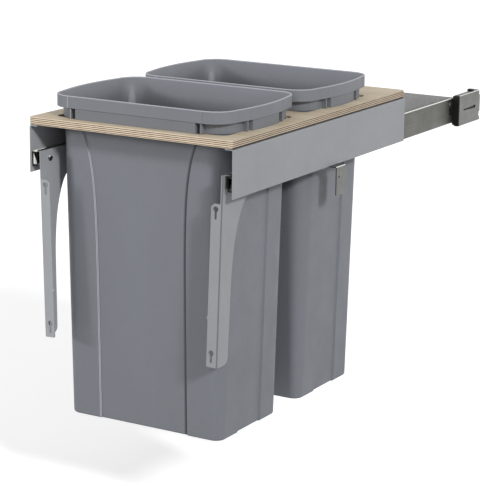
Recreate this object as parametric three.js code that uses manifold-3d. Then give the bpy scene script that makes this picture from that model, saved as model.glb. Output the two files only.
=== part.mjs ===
// Pull out trash cabinet: two bins hang in a plywood platform that runs on a pair of ball-bearing slides.
// Millimetres, +Z up. X runs across the unit, Y to the back of the cabinet.
// The origin is the middle of the rear cross plate's rear face.
// Inside the model group, Y = 0 is the platform's front edge and Z = 0 its top face, as pulled out here.
import * as THREE from "three";
import { mergeVertices } from "three/addons/utils/BufferGeometryUtils.js";
import Module from "manifold-3d";

// ---- driving dimensions ----

// Clearances
const touchGap = 0.3; // between faces that rest on each other
const holeClearance = 0.3; // round a shank, on the radius
const toeInClearance = 0.15; // more, under a head on a sheet that leans
const past = 1; // how far a cutter, or a solid to be joined, runs past the face that it meets
const sharpestBend = 0.3; // inside radius of a tight bend

// Platform; its margins are measured from the bins' bodies at its top face
const plyThickness = 12.7;
const platformSideMargin = 29.7;
const platformFrontMargin = 27.1;
const platformRearMargin = 88.1;
const platformFrontCorner = 3;
const platformRearCorner = 8;
const cutoutCorner = 12;
const cutoutClearance = 1.1; // round a bin's body

// Bins, each with its long side across the platform
const binSpacing = 42.2; // between the two bodies, at the platform's top face
const binTopLength = 300.6; // body, where it passes the platform's top face
const binTopWidth = 200.8;
const binTopCorner = 35;
const binEndTaper = 12; // each short side's lean, from the platform down to the foot
const binFaceTaper = 12.8; // each long side's lean
const binFootCorner = 17;
const binFootEdge = 3.5; // rounding under the foot
const binBodyDepth = 474; // below the platform's top face
const binWall = 2.7;
const panelRecess = 2.5; // sunk panel in the middle of each face
const panelStep = 3; // width of the panel's sloping edge
const longPanelMargin = 59.3; // from the foot's short side to the panel's edge
const longPanelFlare = 32; // added to the half width towards the top
const longPanelFlareHeight = 50; // how fast the flare fades downwards
const panelToCorner = 1; // least flat between the panel's edge and the corner's arc
const shortPanelMargin = 54.6; // from the foot's long side to the panel's edge
const wallLevels = [-150, -80, -45, -20]; // heights at which the flaring wall is drawn
const shoulderFall = 0.5; // draft on the inner shoulders
const smallestCorner = 2; // of a wall's inside
const cornerSteps = 4;

// Rim of a bin: a collar that stands on the platform, and a wide band above it
const collarHeight = 16;
const collarFlare = 1.5; // collar wall proud of the body
const longPlateMargin = 44.3; // from the body's short side to the end of the outer plate on a long side
const shortPlateMargin = 61.9; // from the body's long side to the end of the plate on a short side
const collarPlateInset = 1; // behind the band's face
const bandEndOverhang = 5.7; // past the body's short side, at the corners' tangent lines
const bandFaceOverhang = 12.6; // past the body's long side
const bandCorner = 36;
const bandBow = 8.5; // of the short sides
const bandHeight = 19;
const lipRounding = 0.8;
const finThickness = 2.5;
const longFinMargin = 34.8; // from the body's short side to a fin on a long side
const shortFinMargin = 49.4;

// Side rails: inverted channels under the platform
const railDepth = 72.9; // height of the outer cheek
const railSheet = 1.5;
const railBend = 3;
const railNotchClearance = 2; // the inner web starts this far behind the door bracket's arm
const railFrontFlange = 14; // width of the top flange along the notch
const railWebBelowSlide = 2; // inner web past the drawer member's lower edge

// Ball-bearing slides; they end with the platform
const slideHeight = 45.7;
const slideThickness = 12.7;
const slideCentreDrop = 63.2; // from the platform's top face to the slide's centre line
const cheekToSlide = 1.9; // running gap between the rail's cheek and the slide
const drawerFrontSetback = 6; // platform's front edge to the drawer member's front end
const pulledOut = 201; // drawer member ahead of the cabinet member, as shown
const cabinetSheet = 1.4;
const cabinetFlangeReach = 10.6;
const cabinetLip = 2.5;
const cabinetBend = 3;
const middleShorter = 27; // middle member than the other two
const middlePulledOut = 94; // middle member ahead of the cabinet member, as shown
const middleSheet = 1.3;
const middleBend = 2;
const middleHeight = 35;
const middleWebPlace = 2.6; // from the slide's outer face
const middleFlangeReach = 10.8;
const drawerSheet = 1.5;
const drawerHeight = 22;
const drawerFlangePlace = 5.3; // from the slide's outer face to the flange tips
const drawerBend = 2;

// Ball cages, one inside each running gap
const cageSheet = 0.8;
const cageWebSheet = 0.5;
const cageLength = 240;
const outerCageWebPlace = 1.75; // from the slide's outer face
const outerCageReach = 8.4;
const outerCageStart = 100; // behind the cabinet member's front end
const outerBallPlace = 5.6;
const innerCageWebPlace = 4.3;
const innerCageReach = 10.2;
const innerCageStart = 210; // behind the drawer member's front end
const innerBallPlace = 7.6;
const ballsPerRow = 5;
const ballRunningGap = 0.2;

// Door brackets
const bracketSheet = 2;
const bracketBend = 3;
const bracketTopDrop = 52.5; // all drops are from the platform's top face
const bracketFlangeTopDrop = 95.3;
const bracketBottomDrop = 343.5;
const bracketFlangeWidth = 18.4;
const bracketNibDrop = 265;
const bracketNibHeight = 6;
const bracketNibReach = 2; // past the flange's edge
const bracketFlangeCorner = 2;
const bracketFlangeChamfer = 5;
const bracketArmLength = 98;
const bracketArmBottomDrop = 86;
const bracketFootCorner = 11;
const bracketLegWidth = 31; // at the foot
// Points on the web's lower edge: behind the door's face, and below the arm's underside.
const bracketCurve = [[32.5, 154.5], [34.5, 109.5], [41, 66.5], [53, 32.5], [66, 13], [79, 7]];
const bracketToeIn = 1.53; // degrees
const bracketGap = 0.5; // web to the slide's drawer member, before the toe-in
const keyholeHead = 9;
const keyholeSlot = 4;
const keyholeLength = 20;
const keyholeEndShare = 0.98; // of the slot's half width that rounds its lower end
const upperKeyholeDrop = 99;
const lowerKeyholeDrop = 317;
const keyholeFromFold = 10.8;
const bracketFrontScrewPlace = 26; // from the platform's front edge
const bracketRearScrewMargin = 16; // from the arm's rear end
const bracketScrewLift = -2.8; // of the front screw, from the slide's centre line

// Bumpers and pads at the front of the slides
const bumperDepth = 2.2;
const bumperHeight = 22.4;
const bumperDrop = 2.4; // centre below the slide's centre line
const bumperInnerWall = 1.6;
const bumperOuterWall = 3.4;
const bumperTopWall = 1.8;
const bumperBottomWall = 3;
const bumperOverlap = 2.1; // reach over the drawer member's end
const bumperLeafLength = 14;
const bumperLeafSheet = 1.2;
const padThickness = 1;
const padLength = 32;
const padHeight = 23;
const padSetback = 6.4;

// Rear of the cabinet side
const crossPlateSheet = 2;
const crossPlateTabLength = 17;
const crossPlateTabHeight = 34;
const crossPlateRivetSetback = 10.2; // ahead of the plate's front face
const crossPlateRivetLift = 11.5; // above the slide's centre line, clear of the end block's hook
const crossPlateEarLength = 27;
const crossPlateEarHeight = 32;
const crossPlateRivetTail = 0.8; // low enough to pass the rail's cheek
const endBlockThickness = 11.8;
const endBlockLength = 74;
const endBlockLead = 1; // ahead of the cross plate's front face
const endBlockHookLength = 13;
const endBlockHookHeight = 14;
const endBlockHookSheet = 0.9;
const endBlockScrewCover = 3; // plastic beyond the screw's tip
const endBlockBoreCover = 2; // plastic beyond the bore's end
const snapHookLength = 10;
const snapHookHeight = 2.5;
const snapHookReach = 5.5;
const snapHookSetback = 3; // from the end block's rear end
const rearBracketSheet = 1.5;
const rearBracketLength = 88;
const rearBracketHeight = 55;
const rearBracketFlange = 10;
const rearBracketLead = 1; // ahead of the cross plate's front face
const rearBracketBend = 2;
const rearBracketRearLip = 6;
const rearBracketLipInset = 9; // from the bracket's top and underside
const rearBracketNotchDepth = 3.5;
const rearBracketNotchHeight = 9;
const rearBracketLowerNotchLift = 7; // above the bracket's underside
const rearSlotLength = 52;
const rearSlotFrontWidth = 2.4;
const rearSlotRearWidth = 5.4;
const rearSlotSetback = 17;

// Front mounting tabs, under the slides
const tabSheet = 2;
const tabWidth = 30;
const tabPlace = 93; // behind the cabinet member's front end
const tabLength = 44.5; // of the hanging leg
const tabBend = 2.5;
const tabFrontCorner = 2;
const tabRearCorner = 10;
const tabHole = 5;
const tabHoleDrop = 17.6; // below the tab's step
const tabHoleSetback = 8;
const tabReachUnder = 9; // step under the slide

// Fasteners
const shankDiameter = 4;
const rivetHead = 8;
const rivetHeadHeight = 1.2;
const screwHead = 9;
const screwHeadHeight = 2.4;
const headCrown = 0.7; // share of a head's radius that is flat
const railRivetFrontMargin = 40; // behind the rail's notch
const railRivetRearMargin = 39; // from the platform's rear edge
const platformScrewFrontMargin = 55; // from the platform's front edge
const platformScrewRearMargin = 44;
const platformScrewInset = 8; // from the platform's side edge
const platformScrewDepth = 9; // into the plywood

const roundSides = 12; // sides of small round pieces and holes

// ---- places that follow from them ----

const platformWidth = binTopLength + 2 * platformSideMargin;
const frontBinCentre = platformFrontMargin + binTopWidth / 2;
const rearBinCentre = frontBinCentre + binTopWidth + binSpacing;
const platformDepth = rearBinCentre + binTopWidth / 2 + platformRearMargin;
const binFootLength = binTopLength - 2 * binEndTaper;
const binFootWidth = binTopWidth - 2 * binFaceTaper;
const longPanelHalf = binFootLength / 2 - longPanelMargin;
const shortPanelHalf = binFootWidth / 2 - shortPanelMargin;
const longPlateHalf = binTopLength / 2 - longPlateMargin;
const shortPlateHalf = binTopWidth / 2 - shortPlateMargin;
const longFinPlace = binTopLength / 2 - longFinMargin;
const shortFinPlace = binTopWidth / 2 - shortFinMargin;
const bandLength = binTopLength + 2 * bandEndOverhang;
const bandWidth = binTopWidth + 2 * bandFaceOverhang;
const slideLength = platformDepth - drawerFrontSetback;
const middleLength = slideLength - middleShorter;
const railNotchLength = bracketArmLength + railNotchClearance;
const shankHole = shankDiameter + 2 * holeClearance;

const cheekOuter = platformWidth / 2;
const cheekInner = cheekOuter - railSheet;
const slideOuter = cheekInner - cheekToSlide;
const slideInner = slideOuter - slideThickness;
const slideZ = -slideCentreDrop;
const railTop = -plyThickness - touchGap;
const cabinetFront = drawerFrontSetback + pulledOut;
const cabinetRear = cabinetFront + slideLength;
const middleFront = cabinetFront - middlePulledOut;
const drawerRear = drawerFrontSetback + slideLength;
const crossPlateFront = cabinetRear + touchGap;
const crossPlateRear = crossPlateFront + crossPlateSheet;
const bandOuterHalf = bandWidth / 2;

// Places along the unit, from the platform's front edge
const bracketScrewPlaces = [bracketFrontScrewPlace, bracketArmLength - bracketRearScrewMargin];
const railRivetPlaces = between(railNotchLength + railRivetFrontMargin, platformDepth - railRivetRearMargin);
const platformScrewPlaces = between(platformScrewFrontMargin, platformDepth - platformScrewRearMargin);
const platformScrewX = platformWidth / 2 - platformScrewInset;

// The two places given and the one midway between them.
function between(front, rear) {
  return [front, (front + rear) / 2, rear];
}

// ---- solids and small helpers ----

const wasm = await Module();
wasm.setup();

// A closed three.js geometry as a solid that can be cut and joined.
function solidOf(geometry) {
  const bare = geometry.clone();
  bare.deleteAttribute("normal");
  bare.deleteAttribute("uv");
  const merged = mergeVertices(bare, 1e-4);
  const mesh = new wasm.Mesh({
    numProp: 3,
    vertProperties: new Float32Array(merged.getAttribute("position").array),
    triVerts: new Uint32Array(merged.index.array),
  });
  return new wasm.Manifold(mesh);
}

function geometryOf(solid) {
  const mesh = solid.getMesh();
  const geometry = new THREE.BufferGeometry();
  geometry.setAttribute("position", new THREE.BufferAttribute(mesh.vertProperties, 3));
  geometry.setIndex(new THREE.BufferAttribute(mesh.triVerts, 1));
  geometry.computeVertexNormals();
  return geometry;
}

function cut(solid, ...tools) {
  return tools.reduce((left, tool) => left.subtract(tool), solid);
}

function join(solid, ...others) {
  return others.reduce((left, other) => left.add(other), solid);
}

function extrusion(shape, depth, curveSegments = 6) {
  return new THREE.ExtrudeGeometry(shape, { depth, bevelEnabled: false, steps: 1, curveSegments });
}

// An (x, y) shape standing between two heights.
function alongZ(shape, z0, z1, curveSegments) {
  return solidOf(extrusion(shape, z1 - z0, curveSegments).translate(0, 0, z0));
}

// An (x, z) shape running from y0 to y1.
function alongY(shape, y0, y1, curveSegments) {
  return solidOf(extrusion(shape, y1 - y0, curveSegments).rotateX(Math.PI / 2).translate(0, y1, 0));
}

// A (y, z) shape running from x0 to x1.
function alongX(shape, x0, x1, curveSegments) {
  const turn = new THREE.Matrix4().makeBasis(
    new THREE.Vector3(0, 1, 0),
    new THREE.Vector3(0, 0, 1),
    new THREE.Vector3(1, 0, 0),
  );
  return solidOf(extrusion(shape, x1 - x0, curveSegments).applyMatrix4(turn).translate(x0, 0, 0));
}

function box(x0, x1, y0, y1, z0, z1) {
  const geometry = new THREE.BoxGeometry(x1 - x0, y1 - y0, z1 - z0);
  return solidOf(geometry.translate((x0 + x1) / 2, (y0 + y1) / 2, (z0 + z1) / 2));
}

// A cylinder along X, for holes through upright sheets.
function pinAlongX(x0, x1, y, z, diameter) {
  const geometry = new THREE.CylinderGeometry(diameter / 2, diameter / 2, x1 - x0, roundSides);
  return solidOf(geometry.rotateZ(Math.PI / 2).translate((x0 + x1) / 2, y, z));
}

function pinAlongZ(x, y, z0, z1, diameter) {
  const geometry = new THREE.CylinderGeometry(diameter / 2, diameter / 2, z1 - z0, roundSides);
  return solidOf(geometry.rotateX(Math.PI / 2).translate(x, y, (z0 + z1) / 2));
}

// A closed outline; a corner is [x, y] or [x, y, radius], and a radius rounds it.
function outline(corners) {
  const shape = new THREE.Shape();
  const count = corners.length;
  corners.forEach(([x, y, radius = 0], index) => {
    const [px, py] = corners[(index + count - 1) % count];
    const [nx, ny] = corners[(index + 1) % count];
    const corner = new THREE.Vector2(x, y);
    const back = new THREE.Vector2(px, py).sub(corner).normalize();
    const ahead = new THREE.Vector2(nx, ny).sub(corner).normalize();
    const halfAngle = Math.acos(THREE.MathUtils.clamp(back.dot(ahead), -1, 1)) / 2;
    const run = radius / Math.tan(halfAngle);
    const start = corner.clone().addScaledVector(back, run);
    const end = corner.clone().addScaledVector(ahead, run);
    if (index === 0) shape.moveTo(start.x, start.y);
    else shape.lineTo(start.x, start.y);
    if (radius > 0) roundCorner(shape, corner, back, ahead, radius, start, end);
  });
  shape.closePath();
  return shape;
}

function roundCorner(shape, corner, back, ahead, radius, start, end) {
  const middle = back.clone().add(ahead).normalize();
  const halfAngle = Math.acos(THREE.MathUtils.clamp(back.dot(ahead), -1, 1)) / 2;
  const centre = corner.clone().addScaledVector(middle, radius / Math.sin(halfAngle));
  const from = start.clone().sub(centre).angle();
  const to = end.clone().sub(centre).angle();
  const clockwise = back.cross(ahead) > 0;
  shape.absarc(centre.x, centre.y, radius, from, to, clockwise);
}

// ---- materials ----

const birchPly = new THREE.MeshStandardMaterial({ color: 0xd8c3a0, roughness: 0.65, metalness: 0 });
const greyPowderCoat = new THREE.MeshStandardMaterial({ color: 0x9a9b9f, roughness: 0.55, metalness: 0 });
const greyPolypropylene = new THREE.MeshStandardMaterial({ color: 0x7f8286, roughness: 0.5, metalness: 0 });
const slideZinc = new THREE.MeshStandardMaterial({ color: 0x8a8b87, roughness: 0.4, metalness: 0.8 });
const brightZinc = new THREE.MeshStandardMaterial({ color: 0xb4b4b0, roughness: 0.35, metalness: 0.9 });
const blackPlastic = new THREE.MeshStandardMaterial({ color: 0x161616, roughness: 0.5, metalness: 0 });
const paleNylon = new THREE.MeshStandardMaterial({ color: 0xf0f0ec, roughness: 0.5, metalness: 0 });
const ballSteel = new THREE.MeshStandardMaterial({ color: 0xc8c8c8, roughness: 0.15, metalness: 1 });

// ---- platform ----

function platform() {
  const half = platformWidth / 2;
  const board = outline([
    [-half, 0, platformFrontCorner],
    [half, 0, platformFrontCorner],
    [half, platformDepth, platformRearCorner],
    [-half, platformDepth, platformRearCorner],
  ]);
  const halfLength = binTopLength / 2 + cutoutClearance;
  const halfWidth = binTopWidth / 2 + cutoutClearance;
  for (const centre of [frontBinCentre, rearBinCentre]) {
    const opening = outline([
      [-halfLength, centre - halfWidth, cutoutCorner],
      [halfLength, centre - halfWidth, cutoutCorner],
      [halfLength, centre + halfWidth, cutoutCorner],
      [-halfLength, centre + halfWidth, cutoutCorner],
    ]);
    board.holes.push(opening);
  }
  const pilots = [];
  for (const side of [-1, 1]) {
    for (const place of platformScrewPlaces) {
      const pilotTop = platformScrewDepth - plyThickness + holeClearance;
      pilots.push(pinAlongZ(side * platformScrewX, place, -plyThickness - past, pilotTop, shankHole));
    }
  }
  return cut(alongZ(board, -plyThickness, 0), ...pilots);
}

// ---- bins ----

// One level of a bin's wall, seen from above and counted anticlockwise.
function binRing(z, size) {
  const { halfX, halfY, corner, bow = 0, frontHalf, frontProud, sideHalf, sideProud, sideBow = bow } = size;
  const straightHalf = halfY - corner;
  const bulge = (amount, y) => amount * (1 - (y / straightHalf) ** 2);
  const quarter = [];
  for (const share of [0, 0.5, 1]) {
    const y = share * sideHalf;
    quarter.push([halfX + sideProud + bulge(sideBow, y), y]);
  }
  quarter.push([halfX + bulge(bow, sideHalf + panelStep), sideHalf + panelStep]);
  for (let i = 0; i <= cornerSteps; i++) {
    const angle = (i / cornerSteps) * (Math.PI / 2);
    quarter.push([halfX - corner + corner * Math.cos(angle), halfY - corner + corner * Math.sin(angle)]);
  }
  quarter.push([frontHalf + panelStep, halfY]);
  quarter.push([frontHalf, halfY + frontProud]);
  const beyondAxis = quarter.slice(1);
  const ring = [
    ...quarter,
    ...beyondAxis.toReversed().map(([x, y]) => [-x, y]),
    ...quarter.map(([x, y]) => [-x, -y]),
    ...beyondAxis.toReversed().map(([x, y]) => [x, -y]),
  ];
  // The second quarter ends on the axis, where the third one starts.
  return ring.map(([x, y]) => new THREE.Vector3(x, y, z));
}

// The body's outline at a level, drawn in by a wall's thickness for the inside.
function bodyRing(z, inset) {
  const share = THREE.MathUtils.clamp((z + binBodyDepth) / binBodyDepth, 0, 1);
  const halfX = THREE.MathUtils.lerp(binFootLength, binTopLength, share) / 2 - inset;
  const halfY = THREE.MathUtils.lerp(binFootWidth, binTopWidth, share) / 2 - inset;
  const corner = Math.max(THREE.MathUtils.lerp(binFootCorner, binTopCorner, share) - inset, smallestCorner);
  const flare = longPanelFlare * Math.exp(Math.min(z, 0) / longPanelFlareHeight);
  const frontHalf = Math.min(longPanelHalf + flare, halfX - corner - panelStep - panelToCorner);
  return binRing(z, {
    halfX,
    halfY,
    corner,
    frontHalf,
    frontProud: -panelRecess,
    sideHalf: shortPanelHalf,
    sideProud: -panelRecess,
  });
}

// The collar's outline: plates stand proud of the wall in the middle of each side.
function collarRing(z, inset) {
  const halfX = binTopLength / 2 + collarFlare - inset;
  const halfY = binTopWidth / 2 + collarFlare - inset;
  return binRing(z, {
    halfX,
    halfY,
    corner: binTopCorner - inset,
    frontHalf: longPlateHalf - inset,
    frontProud: bandOuterHalf - collarPlateInset - inset - halfY,
    sideHalf: shortPlateHalf - inset,
    sideProud: bandLength / 2 - collarPlateInset - inset - halfX,
    sideBow: bandBow,
  });
}

function bandRing(z, inset) {
  return binRing(z, {
    halfX: bandLength / 2 - inset,
    halfY: bandOuterHalf - inset,
    corner: bandCorner - inset,
    bow: bandBow,
    frontHalf: longPlateHalf,
    frontProud: 0,
    sideHalf: shortPlateHalf,
    sideProud: 0,
  });
}

// A skin through rings of equal count, closed by a flat cap at each end.
function loft(rings) {
  const count = rings[0].length;
  const positions = rings.flat().flatMap((point) => [point.x, point.y, point.z]);
  const faces = [];
  for (let level = 0; level < rings.length - 1; level++) {
    for (let i = 0; i < count; i++) {
      const next = (i + 1) % count;
      const low = level * count;
      const high = low + count;
      faces.push(low + i, low + next, high + i);
      faces.push(low + next, high + next, high + i);
    }
  }
  const capFaces = (ring) => {
    const flat = ring.map((point) => new THREE.Vector2(point.x, point.y));
    return THREE.ShapeUtils.triangulateShape(flat, []);
  };
  for (const [a, b, c] of capFaces(rings[0])) faces.push(a, c, b);
  const last = (rings.length - 1) * count;
  for (const [a, b, c] of capFaces(rings.at(-1))) faces.push(last + a, last + b, last + c);
  const geometry = new THREE.BufferGeometry();
  geometry.setAttribute("position", new THREE.Float32BufferAttribute(positions, 3));
  geometry.setIndex(faces);
  return solidOf(geometry);
}

function bin() {
  const foot = -binBodyDepth;
  const seat = touchGap; // the collar stands on the platform
  const bandBottom = seat + collarHeight;
  const lip = bandBottom + bandHeight;
  const outer = [
    bodyRing(foot, binFootEdge),
    bodyRing(foot + binFootEdge, 0),
    ...wallLevels.map((z) => bodyRing(z, 0)),
    bodyRing(seat, 0),
    collarRing(seat, 0),
    collarRing(bandBottom, 0),
    bandRing(bandBottom, 0),
    bandRing(lip - lipRounding, 0),
    bandRing(lip, lipRounding),
  ];
  const inner = [
    bandRing(lip, binWall - lipRounding),
    bandRing(lip - lipRounding, binWall),
    bandRing(bandBottom + binWall, binWall),
    collarRing(bandBottom + binWall - shoulderFall, binWall),
    collarRing(seat + binWall, binWall),
    bodyRing(seat + binWall - shoulderFall, binWall),
    ...wallLevels.toReversed().map((z) => bodyRing(z, binWall)),
    bodyRing(foot + binFootEdge + binWall, binWall),
    bodyRing(foot + binWall, binFootEdge + binWall),
  ];
  const fins = [];
  const rootX = binTopLength / 2 + collarFlare - past;
  const rootY = binTopWidth / 2 + collarFlare - past;
  const finBow = bandBow * (1 - (shortFinPlace / (bandOuterHalf - bandCorner)) ** 2);
  const tipX = bandLength / 2 + finBow - collarPlateInset;
  const tipY = bandOuterHalf - collarPlateInset;
  const finTop = bandBottom + binWall / 2;
  for (const x of [-longFinPlace, longFinPlace]) {
    const left = x - finThickness / 2;
    const right = x + finThickness / 2;
    fins.push(box(left, right, rootY, tipY, seat, finTop));
    fins.push(box(left, right, -tipY, -rootY, seat, finTop));
  }
  for (const y of [-shortFinPlace, shortFinPlace]) {
    const front = y - finThickness / 2;
    const rear = y + finThickness / 2;
    fins.push(box(rootX, tipX, front, rear, seat, finTop));
    fins.push(box(-tipX, -rootX, front, rear, seat, finTop));
  }
  return join(loft([...outer, ...inner]), ...fins);
}

// ---- right-hand side; the left-hand side is its mirror image ----

const railWebOuter = slideInner - touchGap;
const railWebInner = railWebOuter - railSheet;
const drawerBottom = slideZ - drawerHeight / 2;

function sideRail() {
  const cheekBottom = railTop - railDepth;
  const webBottom = drawerBottom - railWebBelowSlide;
  const channel = outline([
    [cheekOuter, cheekBottom],
    [cheekOuter, railTop, railBend],
    [railWebInner, railTop, railBend],
    [railWebInner, webBottom],
    [railWebOuter, webBottom],
    [railWebOuter, railTop - railSheet, railBend - railSheet],
    [cheekInner, railTop - railSheet, railBend - railSheet],
    [cheekInner, cheekBottom],
  ]);
  const notchOuter = cheekOuter - railFrontFlange;
  const notchHeight = [webBottom - past, railTop + past];
  const notch = box(railWebInner - past, notchOuter, -past, railNotchLength, ...notchHeight);
  const rivetHoles = railRivetPlaces.map((place) =>
    pinAlongX(railWebInner - past, railWebOuter + past, place, slideZ, shankHole),
  );
  const screwHoles = platformScrewPlaces.map((place) =>
    pinAlongZ(platformScrewX, place, railTop - railSheet - past, railTop + past, shankHole),
  );
  return cut(alongY(channel, 0, platformDepth, 3), notch, ...rivetHoles, ...screwHoles);
}

// Slide sections are drawn by their distance in from the slide's outer face
// and their height off its centre line.
function slideCorner(inward, height, radius = 0) {
  return [slideOuter - inward, slideZ + height, radius];
}

// A channel section open on the side away from its web.
function channelSection(webPlace, flangePlace, halfHeight, sheet, bend, lip = 0) {
  const towards = Math.sign(flangePlace - webPlace);
  const webInside = webPlace + towards * sheet;
  const inside = halfHeight - sheet;
  const insideBend = Math.max(bend - sheet, sharpestBend);
  const upper = [
    [webPlace, halfHeight, bend],
    [flangePlace, halfHeight, lip > 0 ? bend / 2 : 0],
  ];
  if (lip > 0) {
    upper.push([flangePlace, inside - lip]);
    upper.push([flangePlace - towards * sheet, inside - lip]);
    upper.push([flangePlace - towards * sheet, inside, 0]);
  } else {
    upper.push([flangePlace, inside]);
  }
  upper.push([webInside, inside, insideBend]);
  const lower = upper.toReversed().map(([place, height, radius]) => [place, -height, radius]);
  const corners = [...upper, ...lower].map(([place, height, radius]) => slideCorner(place, height, radius));
  return outline(corners);
}

function cabinetMember() {
  const halfHeight = slideHeight / 2;
  const section = channelSection(0, cabinetFlangeReach, halfHeight, cabinetSheet, cabinetBend, cabinetLip);
  const lowerFlange = [slideZ - halfHeight - past, slideZ - halfHeight + cabinetSheet + past];
  const tabRivetHole = pinAlongZ(tabRivetX, tabRivetY, ...lowerFlange, shankHole);
  const web = [slideOuter - cabinetSheet - past, slideOuter + past];
  const plateRivetHole = pinAlongX(...web, crossPlateRivetY, crossPlateRivetZ, shankHole);
  return cut(alongY(section, cabinetFront, cabinetRear, 4), tabRivetHole, plateRivetHole);
}

function middleMember() {
  const halfHeight = middleHeight / 2;
  const section = channelSection(middleWebPlace, middleFlangeReach, halfHeight, middleSheet, middleBend);
  return alongY(section, middleFront, middleFront + middleLength, 3);
}

function drawerMember() {
  const halfHeight = drawerHeight / 2;
  const section = channelSection(slideThickness, drawerFlangePlace, halfHeight, drawerSheet, drawerBend);
  const places = [
    ...railRivetPlaces.map((place) => [place, 0]),
    ...bracketScrewPlaces.map((place, index) => [place, index === 0 ? bracketScrewLift : 0]),
  ];
  const holes = places.map(([place, lift]) =>
    pinAlongX(slideInner - past, slideInner + drawerSheet + past, place, slideZ + lift, shankHole),
  );
  return cut(alongY(section, drawerFrontSetback, drawerRear, 3), ...holes);
}

// A thin channel that spans both rows, with its balls held in the flanges.
function ballCage({ webPlace, reach, rowHeight, ballPlace, ballRadius, start }) {
  const half = rowHeight + cageSheet / 2;
  const section = outline([
    slideCorner(webPlace, -half),
    slideCorner(reach, -half),
    slideCorner(reach, -half + cageSheet),
    slideCorner(webPlace + cageWebSheet, -half + cageSheet),
    slideCorner(webPlace + cageWebSheet, half - cageSheet),
    slideCorner(reach, half - cageSheet),
    slideCorner(reach, half),
    slideCorner(webPlace, half),
  ]);
  const spacing = cageLength / ballsPerRow;
  const balls = [];
  for (let i = 0; i < ballsPerRow; i++) {
    for (const row of [-rowHeight, rowHeight]) {
      const ball = new THREE.IcosahedronGeometry(ballRadius, 0);
      ball.translate(slideOuter - ballPlace, start + (i + 0.5) * spacing, slideZ + row);
      balls.push(solidOf(ball));
    }
  }
  return join(alongY(section, start, start + cageLength), ...balls);
}

function outerCage() {
  const raceOutside = slideHeight / 2 - cabinetSheet;
  const raceInside = middleHeight / 2;
  return ballCage({
    webPlace: outerCageWebPlace,
    reach: outerCageReach,
    rowHeight: (raceOutside + raceInside) / 2,
    ballPlace: outerBallPlace,
    ballRadius: (raceOutside - raceInside) / 2 - ballRunningGap,
    start: cabinetFront + outerCageStart,
  });
}

function innerCage() {
  const raceOutside = middleHeight / 2 - middleSheet;
  const raceInside = drawerHeight / 2;
  return ballCage({
    webPlace: innerCageWebPlace,
    reach: innerCageReach,
    rowHeight: (raceOutside + raceInside) / 2,
    ballPlace: innerBallPlace,
    ballRadius: (raceOutside - raceInside) / 2 - ballRunningGap,
    start: drawerFrontSetback + innerCageStart,
  });
}

// ---- door bracket ----

const bracketWebOuter = slideInner - bracketGap;
const bracketWebInner = bracketWebOuter - bracketSheet;
const bracketFlangeInner = bracketWebOuter - bracketFlangeWidth;

// The web seen from the side: an arm along the slide that curves down into a slim leg.
function bracketSide() {
  const shape = new THREE.Shape();
  shape.moveTo(0, -bracketTopDrop);
  shape.lineTo(0, -bracketBottomDrop);
  const footY = bracketLegWidth - bracketFootCorner;
  const footZ = bracketFootCorner - bracketBottomDrop;
  shape.absarc(footY, footZ, bracketFootCorner, -Math.PI / 2, 0, false);
  const lowerEdge = [...bracketCurve, [bracketArmLength, 0]];
  shape.splineThru(lowerEdge.map(([y, drop]) => new THREE.Vector2(y, -bracketArmBottomDrop - drop)));
  shape.lineTo(bracketArmLength, -bracketTopDrop);
  shape.closePath();
  return shape;
}

// The flange seen from the front, with the web's edge above it.
function bracketFront() {
  const foldLine = bracketWebInner - bracketBend + bracketSheet;
  const nibEdge = bracketFlangeInner - bracketNibReach;
  const nibBottomDrop = bracketNibDrop + bracketNibHeight;
  return outline([
    [bracketWebOuter + past, past - bracketTopDrop],
    [foldLine, past - bracketTopDrop],
    [foldLine, -bracketFlangeTopDrop],
    [bracketFlangeInner + bracketFlangeChamfer, -bracketFlangeTopDrop],
    [bracketFlangeInner, -bracketFlangeTopDrop - bracketFlangeChamfer],
    [bracketFlangeInner, -bracketNibDrop],
    [nibEdge, -bracketNibDrop - bracketNibReach],
    [nibEdge, bracketNibReach - nibBottomDrop],
    [bracketFlangeInner, -nibBottomDrop],
    [bracketFlangeInner, -bracketBottomDrop, bracketFlangeCorner],
    [bracketWebOuter + past, -bracketBottomDrop],
  ]);
}

// A round head with a narrow slot below it, open through the flange.
function keyhole(topDrop) {
  const x = bracketWebOuter - keyholeFromFold;
  const headZ = -topDrop - keyholeHead / 2;
  const bottom = -topDrop - keyholeLength;
  const head = new THREE.Shape();
  head.absarc(x, headZ, keyholeHead / 2, 0, 2 * Math.PI, false);
  const half = keyholeSlot / 2;
  const slot = outline([
    [x - half, bottom, half * keyholeEndShare],
    [x + half, bottom, half * keyholeEndShare],
    [x + half, headZ],
    [x - half, headZ],
  ]);
  const depth = [-past, bracketSheet + past];
  return join(alongY(head, ...depth, 10), alongY(slot, ...depth, 4));
}

function doorBracket() {
  const flangeEdge = bracketFlangeInner - bracketNibReach - past;
  const plan = outline([
    [flangeEdge, 0],
    [bracketWebOuter, 0, bracketBend],
    [bracketWebOuter, bracketArmLength + past],
    [bracketWebInner, bracketArmLength + past],
    [bracketWebInner, bracketSheet, bracketBend - bracketSheet],
    [flangeEdge, bracketSheet],
  ]);
  const folded = alongZ(plan, -bracketBottomDrop - past, past - bracketTopDrop, 3);
  const side = alongX(bracketSide(), flangeEdge - past, bracketWebOuter + past, 5);
  const front = alongY(bracketFront(), -past, bracketArmLength + past, 2);
  const hole = shankHole + 2 * holeClearance;
  const screwHoles = bracketScrewPlaces.map((place, index) => {
    const lift = index === 0 ? bracketScrewLift : 0;
    return pinAlongX(bracketWebInner - past, bracketWebOuter + past, place, slideZ + lift, hole);
  });
  const blank = folded.intersect(side).intersect(front);
  return cut(blank, keyhole(upperKeyholeDrop), keyhole(lowerKeyholeDrop), ...screwHoles);
}

// ---- bumper and pad at the slide's front end ----

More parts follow.
